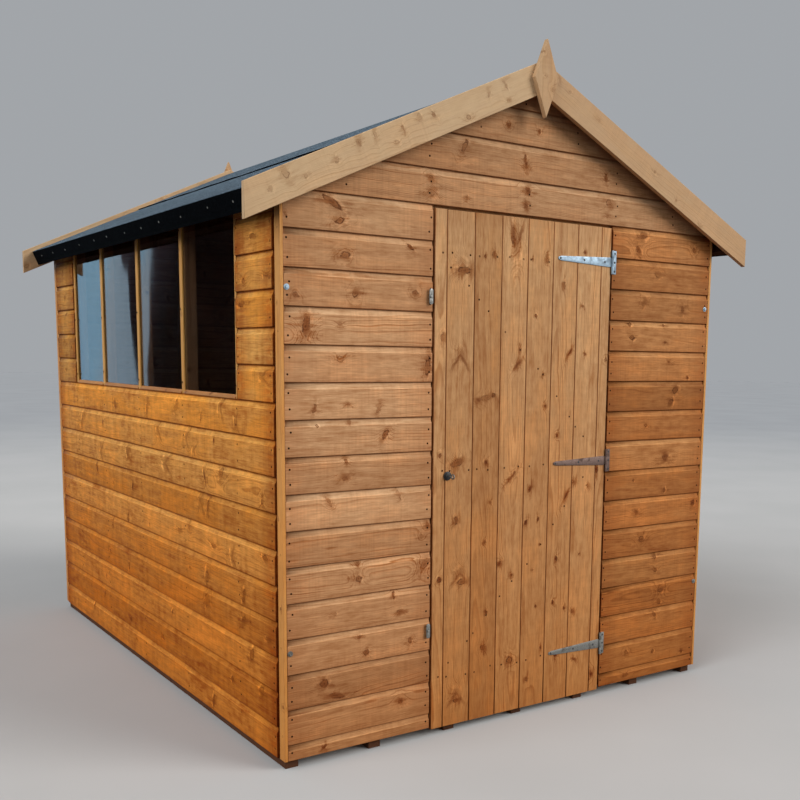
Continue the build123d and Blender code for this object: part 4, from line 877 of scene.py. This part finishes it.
barge("bargeboard_front_left", "front_bargeboard_left", -1, 301, BARGE_L, 1.0, 0.1)
barge("bargeboard_front_right", "front_bargeboard_right", 1, 302, BARGE_R, 0.98, 0.95)
barge("bargeboard_back_left", "back_bargeboard_left", -1, 303)
barge("bargeboard_back_right", "back_bargeboard_right", 1, 304)

for name, node, seed in (("finial_front", "front_finial", 311), ("finial_back", "back_finial", 312)):
    P = Boards(name, ["bare"], seed)
    (bm,) = solids_of(node)
    timber(P, bm, ease=1.4, along=(0, 0, 1), out=(0, 1, 0), knots=[(92, 80, 7, 8, 0.9), (130, 42, 3, 4, 0.7), (205, 36, 4, 5, 0.6)],
           tone=0.97, hue=0.8, rings=1.0, pith=(50.0, 60.0))
    P.build("shed", "bare_trim", [node])

# ----------------------------------------------------------------------------
# Door
# ----------------------------------------------------------------------------
SEAMS = [-385.0, -337.0, -226.0, -113.5, -1.0, 112.0, 224.5, 338.0, 385.0]
DOOR_KNOTS = {
    0: [(1318, 34, 16, 9, 0.6), (936, 28, 10, 7), (516, 29, 9, 9)],
    1: [(1536, 70, 11, 26, 0.9, 0.0, 0.5), (1556, 62, 15, 17, 0.7, 0.0, 1.9), (1262, 57, 17, 15, 0.95, 0.0, 1.85),
        (906, 48, 12, 26, 0.8, 0.2, 0.5), (714, 48, 12, 9, 0.7), (530, 66, 15, 15, 0.8, 0.0, 1.8), (498, 74, 9, 20, 0.7, 0.0, 0.5),
        (110, 57, 16, 15, 0.8, 0.0, 1.8), (84, 60, 9, 14, 0.8, 0.0, 0.6)],
    2: [(1588, 42, 6, 5), (1596, 77, 9, 8), (1122, 58, 9, 30, 0.6, 0.15, 0.35), (1128, 84, 9, 8, 0.8, 0.0, 0.6), (1116, 22, 9, 9, 0.7, 0.0, 0.6), (902, 59, 9, 8), (625, 56, 6, 6), (763, 79, 5, 6), (377, 70, 6, 5), (253, 57, 10, 9)],
    3: [(1632, 62, -32, 14, 1.0, 0.0, 1.8), (1662, 46, 30, 8, 0.85, 0.0, 0.6), (1283, 84, 7, 5), (1232, 74, 8, 16, 0.85, 0.9, 0.8), (844, 56, 7, 24, 0.8, 0.9, 0.8), (543, 12, 9, 8, 1.0, 0.5, 0.8), (497, 65, 6, 6, 1.0, 0.0, 0.8), (188, 64, 11, 13)],
    4: [(1594, 85, 8, 7), (1591, 18, 5, 4), (1400, 39, 7, 6), (1198, 77, 5, 5), (1089, 90, 6, 6), (798, 30, 10, 8, 1.0, 0.4, 0.8), (688, 70, 7, 6, 1.0, 0.5, 0.9),
        (680, 15, 8, 7, 1.0, 0.7, 1.0), (594, 82, 4, 4), (504, 50, 4, 4), (370, 68, 5, 4), (212, 96, 5, 4), (104, 32, 10, 8)],
    5: [(1511, 50, 12, 6), (1277, 85, 8, 12, 1.0, 1.2, 1.0), (985, 36, 7, 6, 1.0, 0.0, 0.95), (761, 85, 8, 13, 1.0, 1.4, 1.0), (533, 47, 10, 7, 1.0, 0.3, 1.0), (370, 36, 8, 6, 1.0, 0.0, 1.0), (345, 92, 6, 5), (171, 55, 7, 6)],
    6: [(1629, 32, 6, 6), (1443, 28, 5, 7), (1273, 47, 6, 6), (809, 13, 8, 9), (791, 79, 5, 9), (540, 46, 5, 5), (326, 22, 7, 10), (140, 37, 6, 9)],
    7: [(1253, 36, 9, 6), (849, 8, 16, 7, 1.0, 0.0, 1.0), (67, 12, 12, 9, 1.0, 0.0, 0.95)],
}


def matchboard_profile(width, first, last):
    """Tongued and grooved board: eased edges, tongue on one side, groove on the other."""
    g = 0.7
    pts = [(g, 2.4), (g + 0.7, 0.9), (g + 2.1, 0.0), (width - g - 2.1, 0.0), (width - g - 0.7, 0.9), (width - g, 2.4)]
    if not last:
        pts += [(width - g, 4.4), (width + 5.0, 4.4), (width + 5.0, 7.6), (width - g, 7.6)]
    pts += [(width - g, 12.0), (g, 12.0)]
    if not first:
        pts += [(g, 8.0), (6.0, 8.0), (6.0, 4.0), (g, 4.0)]
    return pts


P = Boards("door_matchboards", ["door"], 401)
DOOR_TONES = {0: 1.03, 1: 0.97, 2: 0.95, 3: 1.02, 4: 1.0, 5: 1.0, 6: 1.04, 7: 1.03}
DOOR_HUES = {0: 0.15, 1: 0.4, 2: 0.95, 3: 0.35, 4: 0.55, 5: 0.4, 6: 0.2, 7: 0.25}
for k, (a, b) in enumerate(zip(SEAMS, SEAMS[1:])):
    bm = prism(matchboard_profile(b - a, k == 0, k == 7), DOOR_Z0 + P.rng.uniform(0, 0.8), DOOR_Z1 - P.rng.uniform(0, 1.0),
               smooth=(0, 1, 3, 4))
    P.add(bm, Vector((a, YF, 0)), Z, X, Y, knots=[(u + DOOR_Z0, v, ru, rv, *s) for u, v, ru, rv, *s in DOOR_KNOTS[k]],
          tone=DOOR_TONES[k], hue=DOOR_HUES[k], rings=1.0, wave=0.2, width=b - a, skew=0.016)
P.build("door", "door_wood", ["door_boards"])

# ----------------------------------------------------------------------------
# Floor and roof boards
# ----------------------------------------------------------------------------
P = Boards("floor_matchboards", ["frame"], 501)
fy0, fy1 = YF + 18.0, YB - 12.0
n = 20
w = (fy1 - fy0) / n
for k in range(n):
    bm = prism([(a, b) for a, b in matchboard_profile(w, k == 0, k == n - 1)], -HALF_W, HALF_W)
    P.add(bm, Vector((0, fy0 + k * w, 57.0)), X, Y, Z * -1, knots=P.random_knots(1830, w, 420, (5, 11), 1.0, -915),
          width=w, wave=0.0)
P.build("shed", "frame_wood", ["floor_boards"])

for side, node in ((-1, "roof_deck_left"), (1, "roof_deck_right")):
    P = Boards("deck_" + ("left" if side < 0 else "right"), ["inner"], 510 + side)
    s1 = S_EAVE - 3.0
    n = 11
    w = s1 / n
    U, V = Y, Vector((side * CA, 0, -SA))
    W = Vector((side * SA, 0, CA))
    for k in range(n):
        bm = prism([(a, 12.0 - b) for a, b in matchboard_profile(w, k == 0, k == n - 1)], Y_DECK_F, Y_DECK_B)
        if k == 0:
            # plumb cut at the ridge
            cut(bm, (0, 0.2, 12.0), (0, -CA, SA))
        O = Vector((0, 0, FELT_APEX)) + V * (k * w) - W * 15.0
        P.add(bm, O, U, V, W, knots=P.random_knots(2559, w, 420, (5, 11), 1.0, Y_DECK_F), width=w)
    P.build("shed", "frame_wood", [node])

# ----------------------------------------------------------------------------
# Felt: a sheet over each slope, folded down over the eave rail, and the ridge width
# ----------------------------------------------------------------------------
def sheet(name, path, y0, y1, rows, thick, mat_of, mats, seed, ripple):
    """A bent sheet: path is (x, z, nx, nz, s) points of its outer face."""
    n = len(path)
    verts, faces, fm = [], [], []
    for j in range(rows + 1):
        y = y0 + (y1 - y0) * j / rows
        for i, (x, z, nx, nz, s) in enumerate(path):
            d = ripple(s, y)
            verts.append(((x + nx * d) * 0.001, y * 0.001, (z + nz * d) * 0.001))
    off = len(verts)
    for j in range(rows + 1):
        y = y0 + (y1 - y0) * j / rows
        for i, (x, z, nx, nz, s) in enumerate(path):
            verts.append(((x - nx * thick) * 0.001, y * 0.001, (z - nz * thick) * 0.001))
    for j in range(rows):
        for i in range(n - 1):
            a, b = j * n + i, j * n + i + 1
            faces.append((a, b, b + n, a + n))
            fm.append(mat_of(i))
            faces.append((off + a, off + a + n, off + b + n, off + b))
            fm.append(1)
    for j in range(rows):
        for i in (0, n - 1):
            a = j * n + i
            q = (a, a + n, off + a + n, off + a)
            faces.append(q if i == 0 else q[::-1])
            fm.append(1)
    for i in range(n - 1):
        for j in (0, rows):
            a = j * n + i
            q = (a, off + a, off + a + 1, a + 1)
            faces.append(q if j == 0 else q[::-1])
            fm.append(1)
    me = bpy.data.meshes.new(name)
    me.from_pydata(verts, [], faces)
    for m in mats:
        me.materials.append(M[m])
    me.polygons.foreach_set("material_index", fm)
    bm = bmesh.new()
    bm.from_mesh(me)
    bmesh.ops.recalc_face_normals(bm, faces=bm.faces[:])
    for f in bm.faces:
        f.smooth = True
    bm.to_mesh(me)
    bm.free()
    me.set_sharp_from_angle(angle=math.radians(50))
    o = bpy.data.objects.new(name, me)
    bpy.context.scene.collection.objects.link(o)
    return o


TACKS = [145 + 203.0 * i for i in range(12)]


def felt_side(side, name, node, seed):
    path = []
    n1 = 22
    for i in range(n1 + 1):
        s = 470.0 + (S_EAVE - 4.0 - 470.0) * i / n1
        d = 1.5 if s < 552 else (1.2 if s < 575 else 0.2)
        path.append((side * (s * CA - d * SA), FELT_APEX - s * SA - d * CA, side * SA, CA, s))
    for a in (20, 40, 60, 80):
        a = math.radians(a)
        s, d = S_EAVE - 4.0 + 4.0 * math.sin(a), 4.0 - 4.0 * math.cos(a)
        b = math.atan2(CA, SA) - a
        path.append((side * (s * CA - d * SA), FELT_APEX - s * SA - d * CA, side * math.cos(b), math.sin(b), s + d))
    for i in range(0, 9):
        d = 4.0 + (66.0 - 4.0) * i / 8
        s = S_EAVE
        path.append((side * (s * CA - d * SA), FELT_APEX - s * SA - d * CA, side * CA, -SA, S_EAVE + d))
    fold = n1 + 3

    def ripple(s, y):
        h = 0.5 + 0.5 * mnoise.noise(Vector((s / 260.0, y / 420.0, seed)))
        d = 0.9 * h + 0.5 * max(0.0, mnoise.noise(Vector((s / 60.0, y / 90.0, seed + 3))))
        if s > S_EAVE + 4:
            f = (s - S_EAVE - 4) / 62.0
            d += f * (1.6 + 2.2 * mnoise.noise(Vector((y / 110.0, 0.0, seed + 5))))
            d += 0.7 * (0.5 + mnoise.noise(Vector((y / 26.0, s / 22.0, seed + 9))))
        if s < 556:
            d = 0.0
        if s < 690:
            d *= max(0.0, (s - 556) / 134.0)
        return max(0.0, d)

    # the drop, the backs and the ends take the painted-shade felt
    o = sheet(name, path, Y_DECK_F + 0.3, Y_DECK_B - 0.3, 90, 2.6, lambda i: 0 if i < fold else 1, ["felt", "felt_shaded"], seed, ripple)
    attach(o, "shed")
    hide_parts(node)


felt_side(-1, "felt_sheet_left", "felt_left", 11.0)
felt_side(1, "felt_sheet_right", "felt_right", 23.0)

path = []
for i in range(-26, 27):
    s = abs(i) / 26 * 548.0
    side = -1 if i < 0 else 1
    d = -1.5
    if i == 0:
        path.append((0.0, FELT_APEX + 1.2 / CA, 0.0, 1.0, 0.0))
    else:
        path.append((side * (s * CA - d * SA), FELT_APEX - s * SA - d * CA, side * SA, CA, side * s))


def ridge_ripple(s, y):
    d = 0.7 * (0.5 + 0.5 * mnoise.noise(Vector((s / 230.0, y / 400.0, 40.0))))
    if abs(s) > 500:
        d += (abs(s) - 500) / 48.0 * (2.0 + 1.8 * mnoise.noise(Vector((y / 150.0, s / 900.0, 44.0))))
    return max(0.0, d)


# its backs and ends take the painted-shade felt, dark in the gaps under its edges
o = sheet("felt_sheet_ridge", path, Y_DECK_F + 0.3, Y_DECK_B - 0.3, 90, 2.2, lambda i: 0, ["felt", "felt_shaded"], 31, ridge_ripple)
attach(o, "shed")
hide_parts("felt_ridge")

# ----------------------------------------------------------------------------
# Glazing: four panes, each a little bowed
# ----------------------------------------------------------------------------
edges = [WIN_Y0 - 2.0, *MULLIONS, WIN_Y1 + 2.0]
bm = bmesh.new()
BOW = (0.3, 0.15, 0.2, 0.3)
for k, (a, b) in enumerate(zip(edges, edges[1:])):
    a, b, z0, z1 = a + 1.5, b - 1.5, WIN_Z0 + 4.0, WIN_Z1 - 1.0
    nu, nv = 12, 14
    grid = {}
    for layer, x in ((0, -918.9), (1, -917.2)):
        for i in range(nu + 1):
            for j in range(nv + 1):
                p, q = i / nu, j / nv
                bow = BOW[k] * math.sin(math.pi * p) * (0.4 + 0.6 * math.sin(math.pi * q))
                bow += 0.10 * math.sin(math.pi * p) * mnoise.noise(Vector((p * 2 + k * 5, q * 3, 1.0)))
                grid[layer, i, j] = bm.verts.new(((x + bow) * 0.001, (a + (b - a) * p) * 0.001, (z0 + (z1 - z0) * q) * 0.001))
    for layer in (0, 1):
        for i in range(nu):
            for j in range(nv):
                q = (grid[layer, i, j], grid[layer, i + 1, j], grid[layer, i + 1, j + 1], grid[layer, i, j + 1])
                f = bm.faces.new(q if layer else q[::-1])
                f.smooth = True
    for i in range(nu):
        for j in (0, nv):
            bm.faces.new((grid[0, i, j], grid[0, i + 1, j], grid[1, i + 1, j], grid[1, i, j]))
    for j in range(nv):
        for i in (0, nu):
            bm.faces.new((grid[0, i, j], grid[0, i, j + 1], grid[1, i, j + 1], grid[1, i, j]))
bmesh.ops.recalc_face_normals(bm, faces=bm.faces[:])
me = bpy.data.meshes.new("panes")
bm.to_mesh(me)
bm.free()
me.set_sharp_from_angle(angle=math.radians(40))
me.materials.append(M["glass"])
o = bpy.data.objects.new("panes", me)
bpy.context.scene.collection.objects.link(o)
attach(o, "shed")
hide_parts("window_glass")


# ----------------------------------------------------------------------------
# Nails and screws
# ----------------------------------------------------------------------------
class Fixings:
    """Small turned pieces, each a ring profile (radius, height) about its axis."""

    def __init__(self, name, mat):
        self.name, self.mat, self.bm, self.rng = name, mat, bmesh.new(), random.Random(hash(len(name)) + 7)

    def turn(self, point, axis, profile, sides=8, slot=0.0, spin=0.0):
        axis = Vector(axis).normalized()
        a = axis.orthogonal().normalized()
        b = axis.cross(a)
        p0 = Vector(point)
        rings = []
        for r, h in profile:
            if r == 0:
                rings.append([self.bm.verts.new((p0 + axis * h) * 0.001)])
                continue
            ring = []
            for i in range(sides):
                t = 2 * math.pi * i / sides + spin
                ring.append(self.bm.verts.new((p0 + (a * math.cos(t) + b * math.sin(t)) * r + axis * h) * 0.001))
            rings.append(ring)
        for ra, rb in zip(rings, rings[1:]):
            for i in range(sides):
                j = (i + 1) % sides
                if len(ra) == 1 and len(rb) == 1:
                    continue
                if len(rb) == 1:
                    f = self.bm.faces.new((ra[i], ra[j], rb[0]))
                elif len(ra) == 1:
                    f = self.bm.faces.new((ra[0], rb[j], rb[i]))
                else:
                    f = self.bm.faces.new((ra[i], ra[j], rb[j], rb[i]))
                f.smooth = True
        if len(rings[0]) > 1:
            self.bm.faces.new(rings[0][::-1])
        if len(rings[-1]) > 1:
            self.bm.faces.new(rings[-1])

    def build(self, body, slot):
        bmesh.ops.recalc_face_normals(self.bm, faces=self.bm.faces[:])
        me = bpy.data.meshes.new(self.name)
        self.bm.to_mesh(me)
        self.bm.free()
        me.materials.append(M[self.mat])
        me.set_sharp_from_angle(angle=math.radians(40))
        o = bpy.data.objects.new(self.name, me)
        bpy.context.scene.collection.objects.link(o)
        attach(o, body)
        return o


NAIL = ((0.0, -2.0), (2.9, -2.0), (3.4, 0.10), (2.8, 0.30), (1.7, 0.08), (0.0, 0.0))
PUNCHED = ((0.0, -2.0), (3.1, -2.0), (3.6, 0.10), (3.0, 0.30), (1.7, 0.06), (0.0, -0.02))
CLOUT = ((0.0, -2.5), (2.6, -2.5), (3.7, 0.1), (3.4, 0.7), (2.0, 1.0), (0.0, 1.1))

# front wall
F = Fixings("nails_front", "nail")
r = random.Random(11)


def pair(F, x, k_lines, point, axis, dx=3.0, skip=()):
    for k, (z0, z1) in enumerate(zip(k_lines, k_lines[1:])):
        h = z1 - z0
        spots = (0.5,) if h < 70 else (0.24 + r.uniform(-0.05, 0.05), 0.68 + r.uniform(-0.06, 0.06))
        for s in spots:
            z = z0 + s * h
            if k in skip:
                continue
            F.turn(point(x + r.uniform(-dx, dx), z), axis, NAIL)


front_point = lambda x, z: (x, YF + 0.12, z)
pair(F, -900.0, FRONT_LINES, front_point, (0, -1, 0), 5.0)
pair(F, -404.0, FRONT_LINES, front_point, (0, -1, 0), 4.0)
for x, z0, z1 in ((-404, HEAD_Z, 1868), (404, HEAD_Z, 1868), (0, HEAD_Z, 1868), (-404, 1868, 1984), (404, 1868, 1984),
                  (-210, 1984, 2096), (210, 1984, 2096), (-30, 2096, 2160), (-700, HEAD_Z, 1850), (700, HEAD_Z, 1850)):
    for s in (0.3, 0.62):
        F.turn(front_point(x + r.uniform(-6, 6), z0 + s * (z1 - z0)), (0, -1, 0), NAIL)
F.build("shed", "black_metal")

F = Fixings("nails_front_right", "nail_brown")
pair(F, 402.0, FRONT_LINES, front_point, (0, -1, 0), 4.0)
pair(F, 899.0, FRONT_LINES, front_point, (0, -1, 0), 4.0)
F.build("shed", "black_metal")

# side and back walls
F = Fixings("nails_sides", "nail")
left_point = lambda y, z: (-SIDE_OUT + 0.30, y, z)
right_point = lambda y, z: (SIDE_OUT - 0.35, y, z)
back_point = lambda x, z: (x, YB - 0.35, z)
low = SIDE_LINES[:11]
high = SIDE_LINES[10:16] + [SIDE_TOP]
for y in (SIDE_Y0 + 24.0, SIDE_Y1 - 24.0):
    pair(F, y, low, left_point, (-1, 0, 0), 5.0)
    pair(F, y, high, left_point, (-1, 0, 0), 5.0)
for y in (WIN_Y0 - 4.0, *MULLIONS, WIN_Y1 + 4.0):
    pair(F, y, low, left_point, (-1, 0, 0), 5.0)
pair(F, WIN_Y0 - 26.0, high, left_point, (-1, 0, 0), 3.0)
pair(F, WIN_Y1 + 26.0, high, left_point, (-1, 0, 0), 3.0)
post_y = [YF + 62.0 + i * 592.25 for i in range(5)]
for y in post_y:
    pair(F, y, SIDE_LINES[:16] + [SIDE_TOP], right_point, (1, 0, 0), 5.0)
for x in (-899.0, -305.0, 305.0, 899.0):
    pair(F, x, FRONT_LINES, back_point, (0, 1, 0), 5.0)
for x, z0, z1 in ((-404, HEAD_Z, 1868), (404, HEAD_Z, 1868), (0, HEAD_Z, 1868), (-404, 1868, 1984), (404, 1868, 1984),
                  (-210, 1984, 2096), (210, 1984, 2096), (0, 1984, 2096)):
    for s in (0.3, 0.62):
        F.turn(back_point(x + r.uniform(-6, 6), z0 + s * (z1 - z0)), (0, 1, 0), NAIL)
F.build("shed", "black_metal")

# strips and beads
F = Fixings("nails_trim", "nail")
for sx in (-1, 1):
    for y in (YF + 18.0, YB - 18.0):
        for z in (90, 380, 690, 1010, 1330, 1650):
            F.turn((sx * 924.8, y + r.uniform(-3, 3), z + r.uniform(-20, 20)), (sx, 0, 0), NAIL)
for y in (WIN_Y0 + 3.0, *MULLIONS, WIN_Y1 - 3.0):
    for z in (WIN_Z0 + 50, WIN_Z0 + 300, WIN_Z0 + 560):
        F.turn((-928.8, y + r.uniform(-2, 2), z + r.uniform(-15, 15)), (-1, 0, 0), NAIL)
F.build("shed", "black_metal")

# door: rows at the ledges, and along the braces that meet at the hinge side
F = Fixings("nails_door", "nail_brown")
DOOR_NAILS = (
    (-354, 1610), (-317, 1612), (-245, 1609), (-208, 1608), (-134, 1611), (-82, 1614), (-22, 1611), (11, 1612), (92, 1609),
    (-322, 1565), (-249, 1511), (-207, 1468), (-167, 1432), (-95, 1365), (-29, 1306), (53, 1242), (76, 1223),
    (142, 1146), (204, 1072), (234, 1035), (274, 999),
    (-348, 906), (-318, 904), (-240, 903), (-206, 904), (-159, 899), (-88, 902), (-26, 904), (24, 902), (88, 905),
    (279, 849), (192, 748), (140, 685), (84, 617), (23, 552), (-45, 498), (-98, 450), (-156, 390), (-212, 334), (-237, 310), (-315, 246),
    (-356, 203), (-323, 198), (-241, 193), (-204, 194), (-134, 205), (-85, 200), (-14, 196), (28, 198), (96, 203),
)
for x, z in DOOR_NAILS:
    F.turn(front_point(x, z), (0, -1, 0), PUNCHED)
F.build("door", "black_metal")

# clout nails down the felt's folded edges
F = Fixings("clout_nails", "zinc_dull")
for side in (-1, 1):
    for i, yc in enumerate((145, 338, 574, 780, 969, 1157, 1374, 1542, 1759, 1987, 2190, 2390)):
        y = YF + yc + (0 if side < 0 else r.uniform(-25, 25))
        d = 31.0 + r.uniform(-4, 4)
        x, z = side * (S_EAVE * CA - d * SA), FELT_APEX - S_EAVE * SA - d * CA
        ax = Vector((side * CA, 0, -SA))
        F.turn(Vector((x, y, z)) + ax * 1.2, ax, CLOUT, sides=10)
F.build("shed", "zinc")

# washer-head screws through the front panel's corners
for name, mat, spots in (("corner_screws_upper", "zinc", ((-905, 1475), (897, 1478))),
                         ("corner_screws_lower", "zinc_dull", ((-904, 373), (904, 385)))):
    F = Fixings(name, mat)
    for x, z in spots:
        F.turn((x, YF, z), (0, -1, 0), ((0, -1), (8.8, -1), (9.0, 1.0), (8.6, 1.9), (5.8, 2.1), (5.8, 2.2)), sides=24)
        F.turn((x, YF - 2.0, z), (0, -1, 0), ((5.2, 0), (5.2, 2.6), (4.6, 3.6), (0, 3.9)), sides=6)
    F.build("shed", "zinc")


# ----------------------------------------------------------------------------
# Ironmongery: the frame's own shapes with eased edges, and their screws
# ----------------------------------------------------------------------------
def hardware(name, node, body, mats, pick=None, ease=0.5, angle=24.0):
    full = bmesh.new()
    me = bpy.data.meshes.new(name)
    for m in mats:
        me.materials.append(M[m])
    for bm in solids_of(node):
        k = pick(bm) if pick else 0
        edges = [e for e in bm.edges if e.is_manifold and e.calc_face_angle(0) > math.radians(angle)]
        r = bmesh.ops.bevel(bm, geom=edges, offset=ease, segments=2, profile=0.5, affect="EDGES", clamp_overlap=True)
        for f in bm.faces:
            f.material_index = k
            f.smooth = True
        bmesh.ops.scale(bm, vec=(0.001,) * 3, verts=bm.verts[:])
        part = bpy.data.meshes.new("part")
        bm.to_mesh(part)
        bm.free()
        full.from_mesh(part)
        bpy.data.meshes.remove(part)
    bmesh.ops.recalc_face_normals(full, faces=full.faces[:])
    full.to_mesh(me)
    full.free()
    me.set_sharp_from_angle(angle=math.radians(30))
    o = bpy.data.objects.new(name, me)
    bpy.context.scene.collection.objects.link(o)
    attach(o, body)
    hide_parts(node)
    return o


def top_or_not(bm):
    z = max(v.co.z for v in bm.verts)
    return 0 if z > 1400 else (1 if z > 600 else 2)


hardware("straps", "hinge_straps", "door", ["zinc", "zinc_dark", "zinc_dull"], top_or_not, 0.4)
hardware("plates", "hinge_plates", "shed", ["zinc", "zinc_dark", "zinc_dull"], top_or_not, 0.4)
hardware("button_upper", "turn_button_upper", "turn_button_upper", ["zinc_dull"], None, 0.5)
hardware("button_lower", "turn_button_lower", "turn_button_lower", ["zinc_dull"], None, 0.5)
hardware("button_screws", "turn_button_screws", "shed", ["zinc_dull"], None, 0.4)
hardware("lock_front", "door_lock", "door", ["black"], None, 0.8)
hardware("key", "door_key", "door", ["zinc_dull"], None, 0.5)

SCREW = ((0.0, -1.0), (4.0, -1.0), (4.2, 0.1), (3.4, 0.75), (1.6, 1.05), (1.2, 0.3), (0.0, 0.3))
for name, body, pts in (
    ("strap_screws", "door", [(PIN_X - d, z) for z in HINGE_Z for d in (246, 135, 36)]),
    ("plate_screws", "shed", [(PIN_X + 13.0, z + d) for z in HINGE_Z for d in (-32, 0, 32)]),
):
    F = Fixings(name, "screw_dark")
    for x, z in pts:
        F.turn((x, YF - 2.4, z), (0, -1, 0), SCREW, sides=14)
    F.build(body, "zinc")

# ----------------------------------------------------------------------------
# Stage, light and camera
# ----------------------------------------------------------------------------
t = Tree("floor_pale")
co = t.new("TexCoord").outputs["Object"]
n1 = t.noise(co, scale=0.9, detail=5.0)
n2 = t.noise(co, scale=60.0, detail=3.0)
col = t.mix(t.map(n1, 0.3, 0.7), (0.49, 0.49, 0.48, 1), (0.53, 0.525, 0.515, 1))
far = t.vec("LENGTH", co)
col = t.mix(t.smooth(far, 2.5, 18.0), col, t.vec("MULTIPLY", col, (0.685, 0.712, 0.755)))
t.principled(col, 0.9, t.bump(n2, 0.0006, 0.3), Specular_IOR_Level=0.0)
bm = bmesh.new()
bmesh.ops.create_circle(bm, cap_ends=True, radius=60.0, segments=96)
me = bpy.data.meshes.new("floor")
bm.to_mesh(me)
bm.free()
me.materials.append(t.mat)
floor = bpy.data.objects.new("floor", me)
bpy.context.scene.collection.objects.link(floor)
floor.visible_diffuse = False

scene = bpy.context.scene
world = bpy.data.worlds.new("studio")
scene.world = world
world.use_nodes = True
wt = world.node_tree
bg = wt.nodes["Background"]
wc = wt.nodes.new("ShaderNodeTexCoord")
ws = wt.nodes.new("ShaderNodeSeparateXYZ")
wm = wt.nodes.new("ShaderNodeMapRange")
wt.links.new(wc.outputs["Generated"], ws.inputs[0])
wt.links.new(ws.outputs[2], wm.inputs[0])
for i, v in enumerate((-0.14, -0.04, 0.07, 0.41)):
    wm.inputs[i + 1].default_value = v
wt.links.new(wm.outputs[0], bg.inputs["Strength"])
bg.inputs["Color"].default_value = (0.88, 0.92, 0.97, 1)


def sun(name, direction, power, color, angle):
    d = bpy.data.lights.new(name, "SUN")
    d.energy, d.color, d.angle = power, color, math.radians(angle)
    o = bpy.data.objects.new(name, d)
    scene.collection.objects.link(o)
    o.rotation_euler = Vector(direction).to_track_quat("-Z", "Y").to_euler()
    return o


sun("key", (-0.84, 1.0, -0.62), 2.28, (1.0, 0.97, 0.94), 36.0)
sun("fill", (1.0, 0.16, -0.66), 2.05, (0.97, 0.98, 1.0), 50.0)


def reflector(name, dist, low, high, shader):
    """A panel that only mirror-like surfaces see, behind and left of the shed.
    low and high are (bearing, bearing, height) in degrees of its lower and upper
    edges, seen from the camera's mirror image in the panes."""
    eye = Vector((0.400, -3.982, 1.2816))
    t = Tree(name)
    shader(t)
    me = bpy.data.meshes.new(name)
    pts = []
    for b, e in ((low[0], low[2]), (low[1], low[2]), (high[1], high[2]), (high[0], high[2])):
        d = dist / math.cos(math.radians(b))
        pts.append((eye.x - d * math.sin(math.radians(b)), eye.y + dist, eye.z + d * math.tan(math.radians(e))))
    me.from_pydata(pts, [], [(0, 1, 2, 3)])
    me.materials.append(t.mat)
    o = bpy.data.objects.new(name, me)
    scene.collection.objects.link(o)
    o.visible_camera = o.visible_diffuse = o.visible_shadow = o.visible_transmission = o.visible_volume_scatter = False
    return o


def pale_panel(t):
    co = t.new("TexCoord").outputs["Object"]
    n = t.noise(t.vec("MULTIPLY", co, (0.9, 1.0, 0.12)), scale=1.2, detail=3.0)
    e = t.new("Emission")
    px, _, pz = t.split(co)
    u = t.math("MULTIPLY_ADD", t.math("SUBTRACT", pz, 2.72), 0.118, px)
    blue = t.mix(t.smooth(n, 0.35, 0.65), (0.35, 0.65, 0.93, 1), (0.48, 0.79, 1.0, 1))
    t.put(e.inputs["Color"], t.mix(t.smooth(u, -3.86, -4.06, 0.0, 0.8), blue, (0.56, 0.68, 0.77, 1)))
    t.put(e.inputs["Strength"], t.map(n, 0.3, 0.7, 0.9, 1.1))
    t.put(t.out.inputs["Surface"], e.outputs[0])


def dark_panel(t):
    co = t.new("TexCoord").outputs["Object"]
    n = t.noise(t.vec("MULTIPLY", co, (0.8, 1.0, 0.3)), scale=1.5, detail=4.0)
    e = t.new("Emission")
    px, _, pz = t.split(co)
    u = t.math("MULTIPLY_ADD", t.math("SUBTRACT", pz, 2.72), 0.118, px)
    edge = t.smooth(u, -4.42, -3.90)
    t.put(e.inputs["Color"], t.mix(edge, t.mix(t.smooth(n, 0.40, 0.66), (0.004, 0.003, 0.003, 1), (0.024, 0.016, 0.015, 1)), (0.070, 0.048, 0.056, 1)))
    t.put(t.out.inputs["Surface"], e.outputs[0])


reflector("reflected_pale", 14.4, (4.0, 22.0, -14.0), (4.0, 22.0, 24.0), pale_panel)
reflector("reflected_dark", 14.0, (19.9, 42.0, -20.0), (13.1, 42.0, 40.0), dark_panel)

cam = bpy.data.cameras.new("camera")
cam.sensor_width, cam.lens = 36.0, 45.62839
cam.shift_x, cam.shift_y = -0.0816754, 0.1201859
cam.clip_start, cam.clip_end = 0.05, 300.0
cam_o = bpy.data.objects.new("camera", cam)
scene.collection.objects.link(cam_o)
right = Vector((0.81122795, -0.58456069, 0.01407161))
fwd = Vector((0.58069937, 0.80258193, -0.13656678))
up = Vector((0.06853795, 0.11895816, 0.99053092))
m = Matrix((right, up, -fwd)).transposed().to_4x4()
m.translation = Vector((-2.23592462, -3.98203297, 1.28158046))
cam_o.matrix_world = m
scene.camera = cam_o
scene.view_settings.view_transform = "Standard"
scene.view_settings.look = "None"
